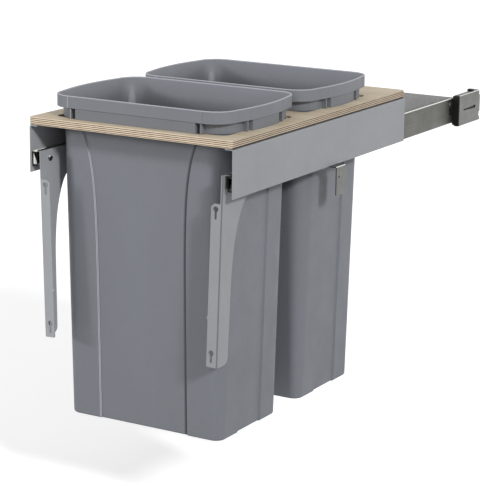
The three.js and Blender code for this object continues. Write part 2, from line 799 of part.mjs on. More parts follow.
const bumperOuter = cheekInner - touchGap;
const bumperInner = slideOuter - drawerFlangePlace - bumperOverlap;
const bumperRear = drawerFrontSetback - touchGap;
const bumperZ = slideZ - bumperDrop;

function frontBumper() {
  const top = bumperZ + bumperHeight / 2;
  const bottom = bumperZ - bumperHeight / 2;
  const front = bumperRear - bumperDepth;
  const ring = cut(
    box(bumperInner, bumperOuter, front, bumperRear, bottom, top),
    box(
      bumperInner + bumperInnerWall,
      bumperOuter - bumperOuterWall,
      front - past,
      bumperRear + past,
      bottom + bumperBottomWall,
      top - bumperTopWall,
    ),
  );
  const leafHalf = drawerHeight / 2 - drawerSheet - 2 * touchGap;
  const leafOuter = bumperInner + bumperLeafSheet;
  const leafRear = bumperRear + bumperLeafLength;
  const leaf = box(bumperInner, leafOuter, front, leafRear, slideZ - leafHalf, slideZ + leafHalf);
  return join(ring, leaf);
}

function slidePad() {
  const outerFace = cheekInner - touchGap;
  const z0 = bumperZ - padHeight / 2;
  return box(outerFace - padThickness, outerFace, padSetback, padSetback + padLength, z0, z0 + padHeight);
}

// ---- rear of the cabinet side ----

const crossPlateRivetY = crossPlateFront - crossPlateRivetSetback;
const crossPlateRivetZ = slideZ + crossPlateRivetLift;
const tabRivetX = slideOuter - cabinetFlangeReach / 2;
const tabRivetY = cabinetFront + tabPlace + tabWidth / 2;
const endBlockInner = slideOuter + touchGap;
const endBlockOuter = endBlockInner + endBlockThickness;
const rearBracketOuter = endBlockOuter + touchGap + rearBracketSheet;
const endBlockFront = crossPlateFront - endBlockLead;
const rearBracketFront = crossPlateFront - rearBracketLead;
const rearBracketTop = slideZ + rearBracketHeight / 2;
const rearBracketBottom = slideZ - rearBracketHeight / 2;
const earScrewY = crossPlateRear + crossPlateEarLength / 2;

function rearCrossPlate() {
  const half = slideHeight / 2;
  const plate = box(-slideOuter, slideOuter, crossPlateFront, crossPlateRear, slideZ - half, slideZ + half);
  const tabOuter = slideOuter - cabinetSheet - touchGap;
  const pieces = [];
  const holes = [];
  for (const side of [-1, 1]) {
    const across = (a, b) => (side > 0 ? [a, b] : [-b, -a]);
    const tab = across(tabOuter - crossPlateSheet, tabOuter);
    const ear = across(slideOuter - crossPlateSheet, slideOuter);
    const tabHalf = crossPlateTabHeight / 2;
    const earHalf = crossPlateEarHeight / 2;
    const tabFront = crossPlateFront - crossPlateTabLength;
    const earRear = crossPlateRear + crossPlateEarLength;
    pieces.push(box(...tab, tabFront, crossPlateRear, slideZ - tabHalf, slideZ + tabHalf));
    pieces.push(box(...ear, crossPlateFront, earRear, slideZ - earHalf, slideZ + earHalf));
    const bore = across(tabOuter - crossPlateSheet - past, slideOuter + past);
    holes.push(pinAlongX(...bore, crossPlateRivetY, crossPlateRivetZ, shankHole));
    holes.push(pinAlongX(...bore, earScrewY, slideZ, shankHole));
  }
  return cut(join(plate, ...pieces), ...holes);
}

// Black plastic block inside the rear bracket, with a hook over the slide's end and a snap hook on top.
function rearEndBlock() {
  const top = rearBracketTop - rearBracketSheet - touchGap;
  const bottom = rearBracketBottom + rearBracketSheet + touchGap;
  const rear = endBlockFront + endBlockLength;
  const body = box(endBlockInner, endBlockOuter, endBlockFront, rear, bottom, top);
  const hookHalf = endBlockHookHeight / 2;
  const hook = box(
    endBlockInner,
    endBlockInner + endBlockHookSheet,
    endBlockFront - endBlockHookLength,
    endBlockFront + past,
    slideZ - hookHalf,
    slideZ + hookHalf,
  );
  const stemOuter = rearBracketOuter - rearBracketFlange - touchGap;
  const snapBottom = rearBracketTop + touchGap;
  const snapTop = snapBottom + snapHookHeight;
  const snapRear = rear - snapHookSetback;
  const snapFront = snapRear - snapHookLength;
  const stem = box(endBlockInner, stemOuter, snapFront, snapRear, top - past, snapTop);
  const snap = box(endBlockInner, stemOuter + snapHookReach, snapFront, snapRear, snapBottom, snapTop);
  const boreEnd = endBlockOuter - endBlockBoreCover;
  const screwBore = pinAlongX(endBlockInner - past, boreEnd, earScrewY, slideZ, shankHole);
  return cut(join(body, hook, stem, snap), screwBore);
}

function rearBracket() {
  const flangeTip = rearBracketOuter - rearBracketFlange;
  const inside = rearBracketOuter - rearBracketSheet;
  const insideBend = Math.max(rearBracketBend - rearBracketSheet, sharpestBend);
  const section = outline([
    [flangeTip, rearBracketTop],
    [rearBracketOuter, rearBracketTop, rearBracketBend],
    [rearBracketOuter, rearBracketBottom, rearBracketBend],
    [flangeTip, rearBracketBottom],
    [flangeTip, rearBracketBottom + rearBracketSheet],
    [inside, rearBracketBottom + rearBracketSheet, insideBend],
    [inside, rearBracketTop - rearBracketSheet, insideBend],
    [flangeTip, rearBracketTop - rearBracketSheet],
  ]);
  const rear = rearBracketFront + rearBracketLength;
  const channel = alongY(section, rearBracketFront, rear, 3);
  const lip = box(
    rearBracketOuter - rearBracketRearLip,
    rearBracketOuter - rearBracketSheet / 2,
    rear - rearBracketSheet,
    rear,
    rearBracketBottom + rearBracketLipInset,
    rearBracketTop - rearBracketLipInset,
  );
  const across = [rearBracketOuter - rearBracketRearLip, rearBracketOuter + past];
  const notchFront = rear - rearBracketNotchDepth;
  const notchAt = (z) => box(...across, notchFront, rear + past, z, z + rearBracketNotchHeight);
  const upperNotch = notchAt(rearBracketTop - rearBracketLipInset);
  const lowerNotch = notchAt(rearBracketBottom + rearBracketLowerNotchLift);
  return cut(join(channel, lip), upperNotch, lowerNotch, rearSlot());
}

// A slot that widens towards its rear end.
function rearSlot() {
  const front = rearBracketFront + rearSlotSetback;
  const rear = front + rearSlotLength;
  const frontRadius = rearSlotFrontWidth / 2;
  const rearRadius = rearSlotRearWidth / 2;
  const shape = new THREE.Shape();
  shape.absarc(front + frontRadius, slideZ, frontRadius, Math.PI / 2, (3 * Math.PI) / 2, false);
  shape.absarc(rear - rearRadius, slideZ, rearRadius, -Math.PI / 2, Math.PI / 2, false);
  shape.closePath();
  return alongX(shape, rearBracketOuter - rearBracketSheet - past, rearBracketOuter + past, 6);
}

// ---- front mounting tab ----

const tabTop = slideZ - slideHeight / 2 - touchGap;
const tabOuter = rearBracketOuter;

function frontTab() {
  const front = cabinetFront + tabPlace;
  const rear = front + tabWidth;
  const bottom = tabTop - tabSheet - tabLength;
  const innerBend = Math.max(tabBend - tabSheet, sharpestBend);
  const section = outline([
    [slideOuter - tabReachUnder, tabTop],
    [tabOuter, tabTop, tabBend],
    [tabOuter, bottom],
    [tabOuter - tabSheet, bottom],
    [tabOuter - tabSheet, tabTop - tabSheet, innerBend],
    [slideOuter - tabReachUnder, tabTop - tabSheet],
  ]);
  const profile = outline([
    [front, tabTop + past],
    [front, bottom, tabFrontCorner],
    [rear, bottom, tabRearCorner],
    [rear, tabTop + past],
  ]);
  const strap = alongY(section, front - past, rear + past, 3);
  const sideCut = alongX(profile, slideOuter - tabReachUnder - past, tabOuter + past, 6);
  const rivetHole = pinAlongZ(tabRivetX, tabRivetY, tabTop - tabSheet - past, tabTop + past, shankHole);
  const leg = [tabOuter - tabSheet - past, tabOuter + past];
  const wallHole = pinAlongX(...leg, front + tabHoleSetback, tabTop - tabHoleDrop, tabHole);
  return cut(strap.intersect(sideCut), rivetHole, wallHole);
}

// ---- fasteners, drawn along +Z with their head at the bottom ----

// A head below z = 0 and a shank above it; a tail is a second, flat head.
function fastener({ headDiameter, headHeight, shankLength, tailDiameter = 0, tailHeight = 0 }) {
  const headRadius = headDiameter / 2;
  const shankRadius = shankDiameter / 2;
  const points = [
    [0, -headHeight],
    [headRadius * headCrown, -headHeight],
    [headRadius, -headHeight / 2],
    [headRadius, 0],
    [shankRadius, 0],
    [shankRadius, shankLength],
  ];
  if (tailDiameter > 0) {
    points.push([tailDiameter / 2, shankLength]);
    points.push([tailDiameter / 2, shankLength + tailHeight]);
    points.push([0, shankLength + tailHeight]);
  } else {
    points.push([0, shankLength]);
  }
  const profile = points.map(([radius, height]) => new THREE.Vector2(radius, height));
  return new THREE.LatheGeometry(profile, roundSides).rotateX(Math.PI / 2);
}

// Head inside the unit, shank pointing outwards along +X.
function pointOutwards(geometry) {
  return geometry.rotateY(Math.PI / 2);
}

function railRivet() {
  return pointOutwards(
    fastener({
      headDiameter: rivetHead,
      headHeight: rivetHeadHeight,
      shankLength: 3 * touchGap + railSheet + drawerSheet,
      tailDiameter: rivetHead - 1,
      tailHeight: rivetHeadHeight,
    }),
  );
}

function bracketScrew() {
  const shankLength = bracketGap + bracketSheet + drawerSheet + 2 * touchGap + toeInClearance;
  return pointOutwards(
    fastener({
      headDiameter: screwHead,
      headHeight: screwHeadHeight,
      shankLength,
      tailDiameter: rivetHead - 1,
      tailHeight: rivetHeadHeight,
    }),
  );
}

function platformScrew() {
  const shankLength = 2 * touchGap + railSheet + platformScrewDepth;
  return fastener({ headDiameter: screwHead, headHeight: screwHeadHeight, shankLength });
}

function crossPlateRivet() {
  return pointOutwards(
    fastener({
      headDiameter: rivetHead,
      headHeight: rivetHeadHeight,
      shankLength: crossPlateSheet + cabinetSheet + 3 * touchGap,
      tailDiameter: rivetHead - 1,
      tailHeight: crossPlateRivetTail,
    }),
  );
}

function endBlockScrew() {
  const shankLength = crossPlateSheet + 2 * touchGap + endBlockThickness - endBlockScrewCover;
  return pointOutwards(fastener({ headDiameter: screwHead, headHeight: screwHeadHeight, shankLength }));
}

function tabRivet() {
  const shankLength = tabSheet + 2 * touchGap + cabinetSheet / 2;
  return fastener({ headDiameter: rivetHead, headHeight: rivetHeadHeight, shankLength });
}

// ---- assembly ----

function piece(parent, name, source, material, position = [0, 0, 0]) {
  const geometry = source.isBufferGeometry ? source : geometryOf(source);
  const mesh = new THREE.Mesh(geometry, material);
  mesh.name = name;
  mesh.position.set(...position);
  parent.add(mesh);
  return mesh;
}

const shared = {
  rail: geometryOf(sideRail()),
  bracket: geometryOf(doorBracket()),
  drawer: geometryOf(drawerMember()),
  middle: geometryOf(middleMember()),
  cabinet: geometryOf(cabinetMember()),
  outerCage: geometryOf(outerCage()),
  innerCage: geometryOf(innerCage()),
  bumper: geometryOf(frontBumper()),
  pad: geometryOf(slidePad()),
  endBlock: geometryOf(rearEndBlock()),
  rearBracket: geometryOf(rearBracket()),
  tab: geometryOf(frontTab()),
  railRivet: railRivet(),
  bracketScrew: bracketScrew(),
  platformScrew: platformScrew(),
  crossPlateRivet: crossPlateRivet(),
  endBlockScrew: endBlockScrew(),
  tabRivet: tabRivet(),
};

function addSide(model, side) {
  const group = new THREE.Group();
  if (side === "left") group.scale.x = -1;
  model.add(group);
  piece(group, `side_rail_${side}`, shared.rail, greyPowderCoat);
  piece(group, `slide_drawer_member_${side}`, shared.drawer, slideZinc);
  piece(group, `slide_middle_member_${side}`, shared.middle, slideZinc);
  piece(group, `slide_cabinet_member_${side}`, shared.cabinet, slideZinc);
  piece(group, `outer_ball_cage_${side}`, shared.outerCage, ballSteel);
  piece(group, `inner_ball_cage_${side}`, shared.innerCage, ballSteel);
  piece(group, `front_bumper_${side}`, shared.bumper, blackPlastic);
  piece(group, `slide_pad_${side}`, shared.pad, paleNylon);
  piece(group, `rear_end_block_${side}`, shared.endBlock, blackPlastic);
  piece(group, `rear_bracket_${side}`, shared.rearBracket, brightZinc);
  piece(group, `front_tab_${side}`, shared.tab, brightZinc);
  addDoorBracket(group, side);
  addFasteners(group, side);
}

// The bracket leans in about the slide's centre line, as its screws let it.
function addDoorBracket(group, side) {
  const lean = new THREE.Group();
  lean.position.set(bracketWebOuter, 0, slideZ);
  lean.rotation.y = THREE.MathUtils.degToRad(bracketToeIn);
  group.add(lean);
  piece(lean, `door_bracket_${side}`, shared.bracket, greyPowderCoat, [-bracketWebOuter, 0, -slideZ]);
}

function addFasteners(group, side) {
  railRivetPlaces.forEach((place, index) => {
    const at = [railWebInner - touchGap, place, slideZ];
    piece(group, `rail_rivet_${side}_${index + 1}`, shared.railRivet, brightZinc, at);
  });
  bracketScrewPlaces.forEach((place, index) => {
    const lift = index === 0 ? bracketScrewLift : 0;
    const at = [bracketWebInner - touchGap - toeInClearance, place, slideZ + lift];
    piece(group, `bracket_screw_${side}_${index + 1}`, shared.bracketScrew, brightZinc, at);
  });
  platformScrewPlaces.forEach((place, index) => {
    const at = [platformScrewX, place, railTop - railSheet - touchGap];
    piece(group, `platform_screw_${side}_${index + 1}`, shared.platformScrew, brightZinc, at);
  });
  const tabInner = slideOuter - cabinetSheet - touchGap - crossPlateSheet;
  piece(group, `cross_plate_rivet_${side}`, shared.crossPlateRivet, brightZinc, [
    tabInner - touchGap,
    crossPlateRivetY,
    crossPlateRivetZ,
  ]);
  piece(group, `end_block_screw_${side}`, shared.endBlockScrew, brightZinc, [
    slideOuter - crossPlateSheet - touchGap,
    earScrewY,
    slideZ,
  ]);
  piece(group, `tab_rivet_${side}`, shared.tabRivet, brightZinc, [
    tabRivetX,
    tabRivetY,
    tabTop - tabSheet - touchGap,
  ]);
}

const model = new THREE.Group();
model.position.set(0, -crossPlateRear, -slideZ);
piece(model, "plywood_platform", platform(), birchPly);
const binGeometry = geometryOf(bin());
piece(model, "bin_front", binGeometry, greyPolypropylene, [0, frontBinCentre, 0]);
piece(model, "bin_rear", binGeometry, greyPolypropylene, [0, rearBinCentre, 0]);
piece(model, "rear_cross_plate", rearCrossPlate(), slideZinc);
addSide(model, "right");
addSide(model, "left");

const pullOutTrashCabinet = new THREE.Group();
pullOutTrashCabinet.add(model);

export default pullOutTrashCabinet;
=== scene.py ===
import math
from collections import namedtuple

import bmesh
import bpy
from mathutils import Matrix, Vector


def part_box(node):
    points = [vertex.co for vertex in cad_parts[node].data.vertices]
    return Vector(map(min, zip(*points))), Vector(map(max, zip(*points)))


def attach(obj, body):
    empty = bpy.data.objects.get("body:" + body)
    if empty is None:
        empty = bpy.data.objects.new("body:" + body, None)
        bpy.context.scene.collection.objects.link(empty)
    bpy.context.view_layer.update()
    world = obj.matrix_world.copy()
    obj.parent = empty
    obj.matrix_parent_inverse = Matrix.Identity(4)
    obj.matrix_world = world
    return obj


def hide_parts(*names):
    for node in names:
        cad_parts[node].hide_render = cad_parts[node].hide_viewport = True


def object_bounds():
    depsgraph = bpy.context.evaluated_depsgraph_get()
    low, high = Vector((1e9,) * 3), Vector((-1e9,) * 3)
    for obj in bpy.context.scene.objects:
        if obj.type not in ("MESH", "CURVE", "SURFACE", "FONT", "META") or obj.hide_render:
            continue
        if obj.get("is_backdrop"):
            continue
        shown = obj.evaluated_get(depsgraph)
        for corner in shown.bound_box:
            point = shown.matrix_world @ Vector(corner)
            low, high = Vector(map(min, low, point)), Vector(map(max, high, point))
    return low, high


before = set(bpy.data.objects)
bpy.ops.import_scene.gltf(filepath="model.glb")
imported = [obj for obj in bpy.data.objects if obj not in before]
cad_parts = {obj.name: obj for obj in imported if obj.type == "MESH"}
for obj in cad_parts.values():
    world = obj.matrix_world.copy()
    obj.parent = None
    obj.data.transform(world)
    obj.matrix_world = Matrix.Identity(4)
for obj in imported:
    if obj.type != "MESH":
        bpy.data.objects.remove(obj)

cad_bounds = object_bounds()
SIDES = {"right": 1, "left": -1}

# ---- places taken from the imported parts ----

platform_low, platform_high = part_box("plywood_platform")
DECK_TOP = platform_high[2]
DECK_BOTTOM = platform_low[2]
BIN_FOOT, BIN_LIP = (corner[2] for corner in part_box("bin_front"))
BIN_CENTRES = {name: sum(corner[1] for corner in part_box(name)) / 2 for name in ("bin_front", "bin_rear")}

# ---- sizes of the bins ----

TOP_LENGTH, TOP_WIDTH, TOP_CORNER = 0.3006, 0.2008, 0.035
FOOT_LENGTH, FOOT_WIDTH, FOOT_CORNER = 0.2766, 0.1752, 0.017
FOOT_EDGE = 0.0035  # rounding under the foot
BIN_WALL = 0.0027
BODY_DEPTH = DECK_TOP - BIN_FOOT
LEAST_CORNER = 0.002  # inside, near the floor
PANEL_RECESS = 0.0025  # sunk panel in the middle of each face
PANEL_EDGE = 0.0014  # width of its sloping edge
LONG_PANEL_HALF = 0.079
LONG_PANEL_FLARE = 0.032  # how far its edge swings out towards the top
LONG_PANEL_FLARE_HEIGHT = 0.050
LONG_PANEL_MARGIN = 0.001  # at least, from its edge to the corner
SHORT_PANEL_HALF = 0.033
SHORT_PLATE_HALF = 0.0385  # short side's outer plate
COLLAR_SEAT = 0.0003  # above the platform
COLLAR_HEIGHT = 0.016
COLLAR_FLARE = 0.0015
COLLAR_FOOT = DECK_TOP + COLLAR_SEAT
PLATE_HALF = 0.106  # long side's outer plate
PLATE_INSET = 0.001  # behind the band's face
PLATE_END = 0.0012  # width of the step at a plate's end
BAND_FOOT = COLLAR_FOOT + COLLAR_HEIGHT
BAND_LENGTH, BAND_WIDTH, BAND_CORNER = 0.312, 0.226, 0.036
BAND_BOW = 0.0085
SEAM_LONG, SEAM_SHORT = 0.1185, 0.047  # from the middle of a side to its groove
SEAM_WIDTH, SEAM_DEPTH = 0.0014, 0.0005
LIP_ROUNDING = 0.0009
FIN_THICKNESS = 0.0025
FIN_LONG, FIN_SHORT = 0.1155, 0.051
FIN_EASE = 0.0004

# ---- edges and metalwork ----

SHEET_EDGE = 0.00025  # easing of cut sheet edges
PLASTIC_EDGE = 0.0004
PLY_EDGE = 0.0006
WELD = 1e-6
FLAT_ANGLE = math.radians(0.5)  # faces that meet at less are one face
HARD_ANGLE = math.radians(35)  # faces that meet at more have an edge
DIMPLE_RADIUS, DIMPLE_HEIGHT = 0.0017, 0.0007
DIMPLE_SUNK = 0.9  # share of its height within the sheet
DIMPLE_PLACE = 0.389  # behind the cabinet member's front end
DIMPLE_INSET = 0.0026  # from the member's upper and lower edges
RING_WALLS = ((0.0034, 0.0009), (0.0016, 0.0007))  # the solid's and the shown thickness, outer and inner

# ---- camera ----

CAMERA_PLACE = Vector((1.56433, -3.08987, 0.57042))
CAMERA_AZIMUTH, CAMERA_ELEVATION, CAMERA_ROLL = 0.52699, 0.24137, 0.01356  # radians
LENS, SENSOR = 139.07, 36.0  # millimetres
FARTHEST_SEEN = 50


def photo_camera():
    back = Vector((
        math.sin(CAMERA_AZIMUTH) * math.cos(CAMERA_ELEVATION),
        -math.cos(CAMERA_AZIMUTH) * math.cos(CAMERA_ELEVATION),
        math.sin(CAMERA_ELEVATION),
    ))
    right = Vector((0, 0, 1)).cross(back).normalized()
    level = Matrix((right, back.cross(right), back)).transposed().to_4x4()
    data = bpy.data.cameras.new("photo_camera")
    data.lens = LENS
    data.sensor_width = SENSOR
    data.clip_end = FARTHEST_SEEN
    camera = bpy.data.objects.new("photo_camera", data)
    camera.matrix_world = Matrix.Translation(CAMERA_PLACE) @ level @ Matrix.Rotation(CAMERA_ROLL, 4, "Z")
    bpy.context.scene.collection.objects.link(camera)
    bpy.context.scene.camera = camera


# ---- studio ----

FLOOR_DROP = 0.16  # below the bins' feet
FLOOR_SIZE = 30.0
FLOOR_GLOW = 0.44  # what the camera sees besides the light that falls on the floor
AMBIENT = 0.42
SUNS = {  # the way each light goes, its strength and its softness in degrees
    "key": (Vector((-0.75, 0.42, -0.48)), 1.75, 8),
    "front": (Vector((-0.05, 0.88, -0.40)), 0.34, 30),
    "left": (Vector((0.78, 0.60, -0.24)), 0.92, 9),
}


def studio():
    world = bpy.data.worlds.new("studio")
    bpy.context.scene.world = world
    world.use_nodes = True
    tree = world.node_tree
    background = tree.nodes["Background"]
    background.inputs["Color"].default_value = (1, 1, 1, 1)
    tree.links.new(stepped(tree, seen_directly(tree), 0, 1, AMBIENT, 1), background.inputs["Strength"])

    for name, (travel, strength, softness) in SUNS.items():
        lamp = bpy.data.lights.new(name, "SUN")
        lamp.energy = strength
        lamp.angle = math.radians(softness)
        sun = bpy.data.objects.new(name, lamp)
        sun.rotation_euler = travel.to_track_quat("-Z", "Y").to_euler()
        bpy.context.scene.collection.objects.link(sun)

    bm = bmesh.new()
    bmesh.ops.create_grid(bm, x_segments=1, y_segments=1, size=FLOOR_SIZE / 2)
    bmesh.ops.translate(bm, verts=bm.verts, vec=(0, 0, BIN_FOOT - FLOOR_DROP))
    floor = add_object("floor", bm)
    floor.data.materials.append(floor_paper())
    floor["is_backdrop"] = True


def seen_directly(tree):
    """1 for what the camera, a gloss or a clear piece sees, 0 for what only lights the object."""
    path = tree.nodes.new("ShaderNodeLightPath")
    glossy = add_clamped(tree, path.outputs["Is Camera Ray"], path.outputs["Is Glossy Ray"])
    return add_clamped(tree, glossy, path.outputs["Is Transmission Ray"])


def add_clamped(tree, first, second):
    total = arithmetic(tree, "ADD", first, second)
    total.node.use_clamp = True
    return total


# ---- material helpers ----

NOISE_LOW, NOISE_HIGH = 0.3, 0.7  # most of a noise lies between them


def colour(red, green, blue):
    """A colour given as the eye reads it, 0 to 255, as the shader's linear one."""
    def linear(value):
        share = value / 255
        return share / 12.92 if share <= 0.04045 else ((share + 0.055) / 1.055) ** 2.4
    return (linear(red), linear(green), linear(blue), 1)


def grey(share):
    """A share of white, to multiply a colour by."""
    return (share, share, share, 1)


def new_material(name, metallic=0.0, specular=0.5):
    material = bpy.data.materials.new(name)
    material.use_nodes = True
    shader = material.node_tree.nodes["Principled BSDF"]
    shader.inputs["Metallic"].default_value = metallic
    shader.inputs["Specular IOR Level"].default_value = specular
    return material, material.node_tree, shader


def arithmetic(tree, operation, *values):
    node = tree.nodes.new("ShaderNodeMath")
    node.operation = operation
    for socket, value in zip(node.inputs, values):
        if hasattr(value, "links"):
            tree.links.new(value, socket)
        else:
            socket.default_value = value
    return node.outputs[0]


def product(tree, first, *others):
    for other in others:
        first = arithmetic(tree, "MULTIPLY", first, other)
    return first


def stepped(tree, value, start, end, low=0.0, high=1.0):
    """Low up to start and high from end on."""
    node = tree.nodes.new("ShaderNodeMapRange")
    node.inputs["From Min"].default_value = start
    node.inputs["From Max"].default_value = end
    node.inputs["To Min"].default_value = low
    node.inputs["To Max"].default_value = high
    tree.links.new(value, node.inputs["Value"])
    return node.outputs["Result"]


def roughened(tree, shader, pattern, low, high):
    """A roughness that goes from low to high with a noise."""
    tree.links.new(stepped(tree, pattern, NOISE_LOW, NOISE_HIGH, low, high), shader.inputs["Roughness"])


def axes_of(tree, vector):
    node = tree.nodes.new("ShaderNodeSeparateXYZ")
    tree.links.new(vector, node.inputs[0])
    return node.outputs


def place(tree):
    """X, Y and Z in the object's own coordinates."""
    return axes_of(tree, tree.nodes.new("ShaderNodeTexCoord").outputs["Object"])


def facing(tree):
    """X, Y and Z of the way that the surface faces."""
    return axes_of(tree, tree.nodes.new("ShaderNodeNewGeometry").outputs["Normal"])


def facing_along(tree, axis, sharpness):
    """1 where the surface faces along an axis, either way, and less as it turns from it."""
    return arithmetic(tree, "POWER", arithmetic(tree, "ABSOLUTE", facing(tree)[axis]), sharpness)


def noise(tree, scale, detail=3.0, roughness=0.5, stretch=(1, 1, 1)):
    """A noise on object coordinates, which are squeezed along each axis by stretch."""
    coordinates = tree.nodes.new("ShaderNodeTexCoord")
    mapping = tree.nodes.new("ShaderNodeMapping")
    mapping.inputs["Scale"].default_value = stretch
    tree.links.new(coordinates.outputs["Object"], mapping.inputs["Vector"])
    node = tree.nodes.new("ShaderNodeTexNoise")
    node.inputs["Scale"].default_value = scale
    node.inputs["Detail"].default_value = detail
    node.inputs["Roughness"].default_value = roughness
    tree.links.new(mapping.outputs["Vector"], node.inputs["Vector"])
    return node.outputs["Fac"]


def ramp(tree, factor, stops):
    """Colours set along a factor: stops are (position, colour)."""
    node = tree.nodes.new("ShaderNodeValToRGB")
    elements = node.color_ramp.elements
    while len(elements) < len(stops):
        elements.new(0.5)
    for element, (position, shade) in zip(elements, stops):
        element.position = position
        element.color = shade
    tree.links.new(factor, node.inputs["Fac"])
    return node.outputs["Color"]


def toned(tree, pattern, first, second):
    """From one colour to another with a noise."""
    return ramp(tree, pattern, [(NOISE_LOW, first), (NOISE_HIGH, second)])


def mixed(tree, factor, first, second, blend="MIX"):
    """Two colours mixed by a factor; each is a socket or a colour."""
    node = tree.nodes.new("ShaderNodeMix")
    node.data_type = "RGBA"
    node.blend_type = blend
    sockets = {"Factor": factor, "A": first, "B": second}
    for socket in node.inputs:
        wanted = sockets.get(socket.name)
        if wanted is None or not socket.enabled:
            continue
        if hasattr(wanted, "links"):
            tree.links.new(wanted, socket)
        else:
            socket.default_value = wanted
    return next(output for output in node.outputs if output.enabled)


def multiplied(tree, first, second):
    return mixed(tree, 1.0, first, second, "MULTIPLY")


def speckled(tree, body, scale, low, high):
    """A body colour with a fine grain over it, from a low to a high share of the colour."""
    grain = noise(tree, scale, detail=2.0)
    return multiplied(tree, body, ramp(tree, grain, [(0.35, grey(low)), (0.65, grey(high))]))


def bump(tree, shader, height, strength, distance):
    node = tree.nodes.new("ShaderNodeBump")
    node.inputs["Strength"].default_value = strength
    node.inputs["Distance"].default_value = distance
    tree.links.new(height, node.inputs["Height"])
    tree.links.new(node.outputs["Normal"], shader.inputs["Normal"])


FACING_BLUR = 0.01


def turned_right(tree, slants):
    """From 0 to 1 between two slants, on slopes that look to the right and to the front alike."""
    way = facing(tree)
    slant = product(tree, way["X"], way["Y"], -1.0)
    rightward = stepped(tree, way["X"], -FACING_BLUR, FACING_BLUR)
    return product(tree, stepped(tree, slant, *slants), rightward)


# ---- finishes ----


def floor_paper():
    """White paper: pure white to the camera where the light falls, greyer in the object's shadow."""
    material, tree, shader = new_material("floor_paper", specular=0.0)
    tint = toned(tree, noise(tree, 2.0), colour(246, 246, 247), colour(250, 250, 250))
    bounce = colour(150, 150, 152)
    tree.links.new(mixed(tree, seen_directly(tree), bounce, tint), shader.inputs["Base Color"])
    shader.inputs["Roughness"].default_value = 1.0
    glow = tree.nodes.new("ShaderNodeEmission")
    glow.inputs["Color"].default_value = (1, 1, 1, 1)
    tree.links.new(stepped(tree, seen_directly(tree), 0, 1, 0, FLOOR_GLOW), glow.inputs["Strength"])
    total = tree.nodes.new("ShaderNodeAddShader")
    tree.links.new(shader.outputs["BSDF"], total.inputs[0])
    tree.links.new(glow.outputs["Emission"], total.inputs[1])
    tree.links.new(total.outputs["Shader"], tree.nodes["Material Output"].inputs["Surface"])
    return material


# Painted light and shade: how much lighter or darker the plastic is painted at each height, as (height,
# share of its colour).
OUTSIDE_PAINTED_LIGHT = [
    (BIN_FOOT, 0.95),
    (DECK_TOP - 0.30, 1.0),
    (DECK_TOP - 0.06, 1.08),
    (DECK_TOP + 0.004, 0.93),
    (DECK_TOP + COLLAR_HEIGHT - 0.001, 0.93),
    (DECK_TOP + COLLAR_HEIGHT + 0.001, 1.055),
    (BIN_LIP, 1.055),
]
# Painted shade inside: the plastic is painted darker the deeper it lies, as (height, share of its colour).
INSIDE_PAINTED_SHADE = [(DECK_TOP - 0.12, 0.42), (DECK_TOP - 0.02, 0.50), (BIN_LIP, 0.96)]
OUTSIDE_SLANTS = (0.36, 0.44)  # of a panel's left edge, which gets a painted highlight
INSIDE_SLANTS = (0.435, 0.495)  # of the inside's left rear corner, which gets a painted highlight
# How strong that corner's painted highlight is.
INSIDE_HIGHLIGHT_SHARE = 0.30
MIDDLE_BLUR = 0.002  # either side of the unit's middle
# Colour of the painted highlights on slopes turned to the right.
PAINTED_HIGHLIGHT = colour(190, 192, 198)
# Colour of the painted shade before a panel's right edge.
PAINTED_PANEL_SHADE = colour(62, 64, 69)
# Colour of the painted highlight along the rim's rolled top.
PAINTED_LIP_HIGHLIGHT = colour(176, 178, 184)


def outside_polypropylene():
    material, tree, shader, shaded = grey_polypropylene("grey_polypropylene", OUTSIDE_PAINTED_LIGHT)
    # Painted highlight along a panel's left edge.
    lined = mixed(tree, painted_highlight_line(tree, OUTSIDE_SLANTS, 1.0), shaded, PAINTED_HIGHLIGHT)
    # Painted shade before a panel's right edge.
    tree.links.new(mixed(tree, panel_shade(tree), lined, PAINTED_PANEL_SHADE), shader.inputs["Base Color"])
    return material


def inside_polypropylene():
    material, tree, shader, shaded = grey_polypropylene("grey_polypropylene_inside", INSIDE_PAINTED_SHADE)
    # Painted highlight in the inside's left rear corner.
    lined = mixed(tree, painted_highlight_line(tree, INSIDE_SLANTS, INSIDE_HIGHLIGHT_SHARE), shaded, PAINTED_HIGHLIGHT)
    tree.links.new(lined, shader.inputs["Base Color"])
    return material


def grey_polypropylene(name, painted_light_levels):
    """Moulded plastic with painted light and shade by height and a painted highlight along the rim's top,
    without its bright and dark lines.
    """
    material, tree, shader = new_material(name, specular=0.4)
    cloud = noise(tree, 7.0, detail=4.0, roughness=0.6, stretch=(1, 1, 0.35))
    body = ramp(tree, cloud, [(0.25, colour(119, 122, 128)), (0.75, colour(126, 129, 136))])
    foot, lip = painted_light_levels[0][0], painted_light_levels[-1][0]
    height = place(tree)["Z"]
    stops = [((level - foot) / (lip - foot), grey(share)) for level, share in painted_light_levels]
    # Painted light and shade by height.
    fall = ramp(tree, stepped(tree, height, foot, lip), stops)
    shaded = multiplied(tree, speckled(tree, body, 900.0, 0.94, 1.05), fall)
    # Painted highlight along the rim's rolled top.
    lip_highlight = stepped(tree, height, BIN_LIP - 2 * LIP_ROUNDING, BIN_LIP - LIP_ROUNDING / 2)
    roughened(tree, shader, noise(tree, 40.0), 0.44, 0.56)
    bump(tree, shader, noise(tree, 1500.0, detail=2.0), strength=0.22, distance=0.0002)
    return material, tree, shader, mixed(tree, lip_highlight, shaded, PAINTED_LIP_HIGHLIGHT)


def painted_highlight_line(tree, slants, shine):
    """Where a slope in the left half gets a painted highlight, because it is turned to the right."""
    left_half = stepped(tree, place(tree)["X"], MIDDLE_BLUR, -MIDDLE_BLUR)
    return product(tree, turned_right(tree, slants), left_half, shine)


SHADE_START = (-0.0058, -0.0024)  # from the panel's right edge, where the shade starts and is full
SHADE_END = (0.0014, 0.0008)  # past that edge, where it has ended and is still full
SHADE_TOP = (0.0, -0.001)  # from the deck, likewise
FRONT_FACE = (-0.6, -0.8)  # Y of the way that a front face looks


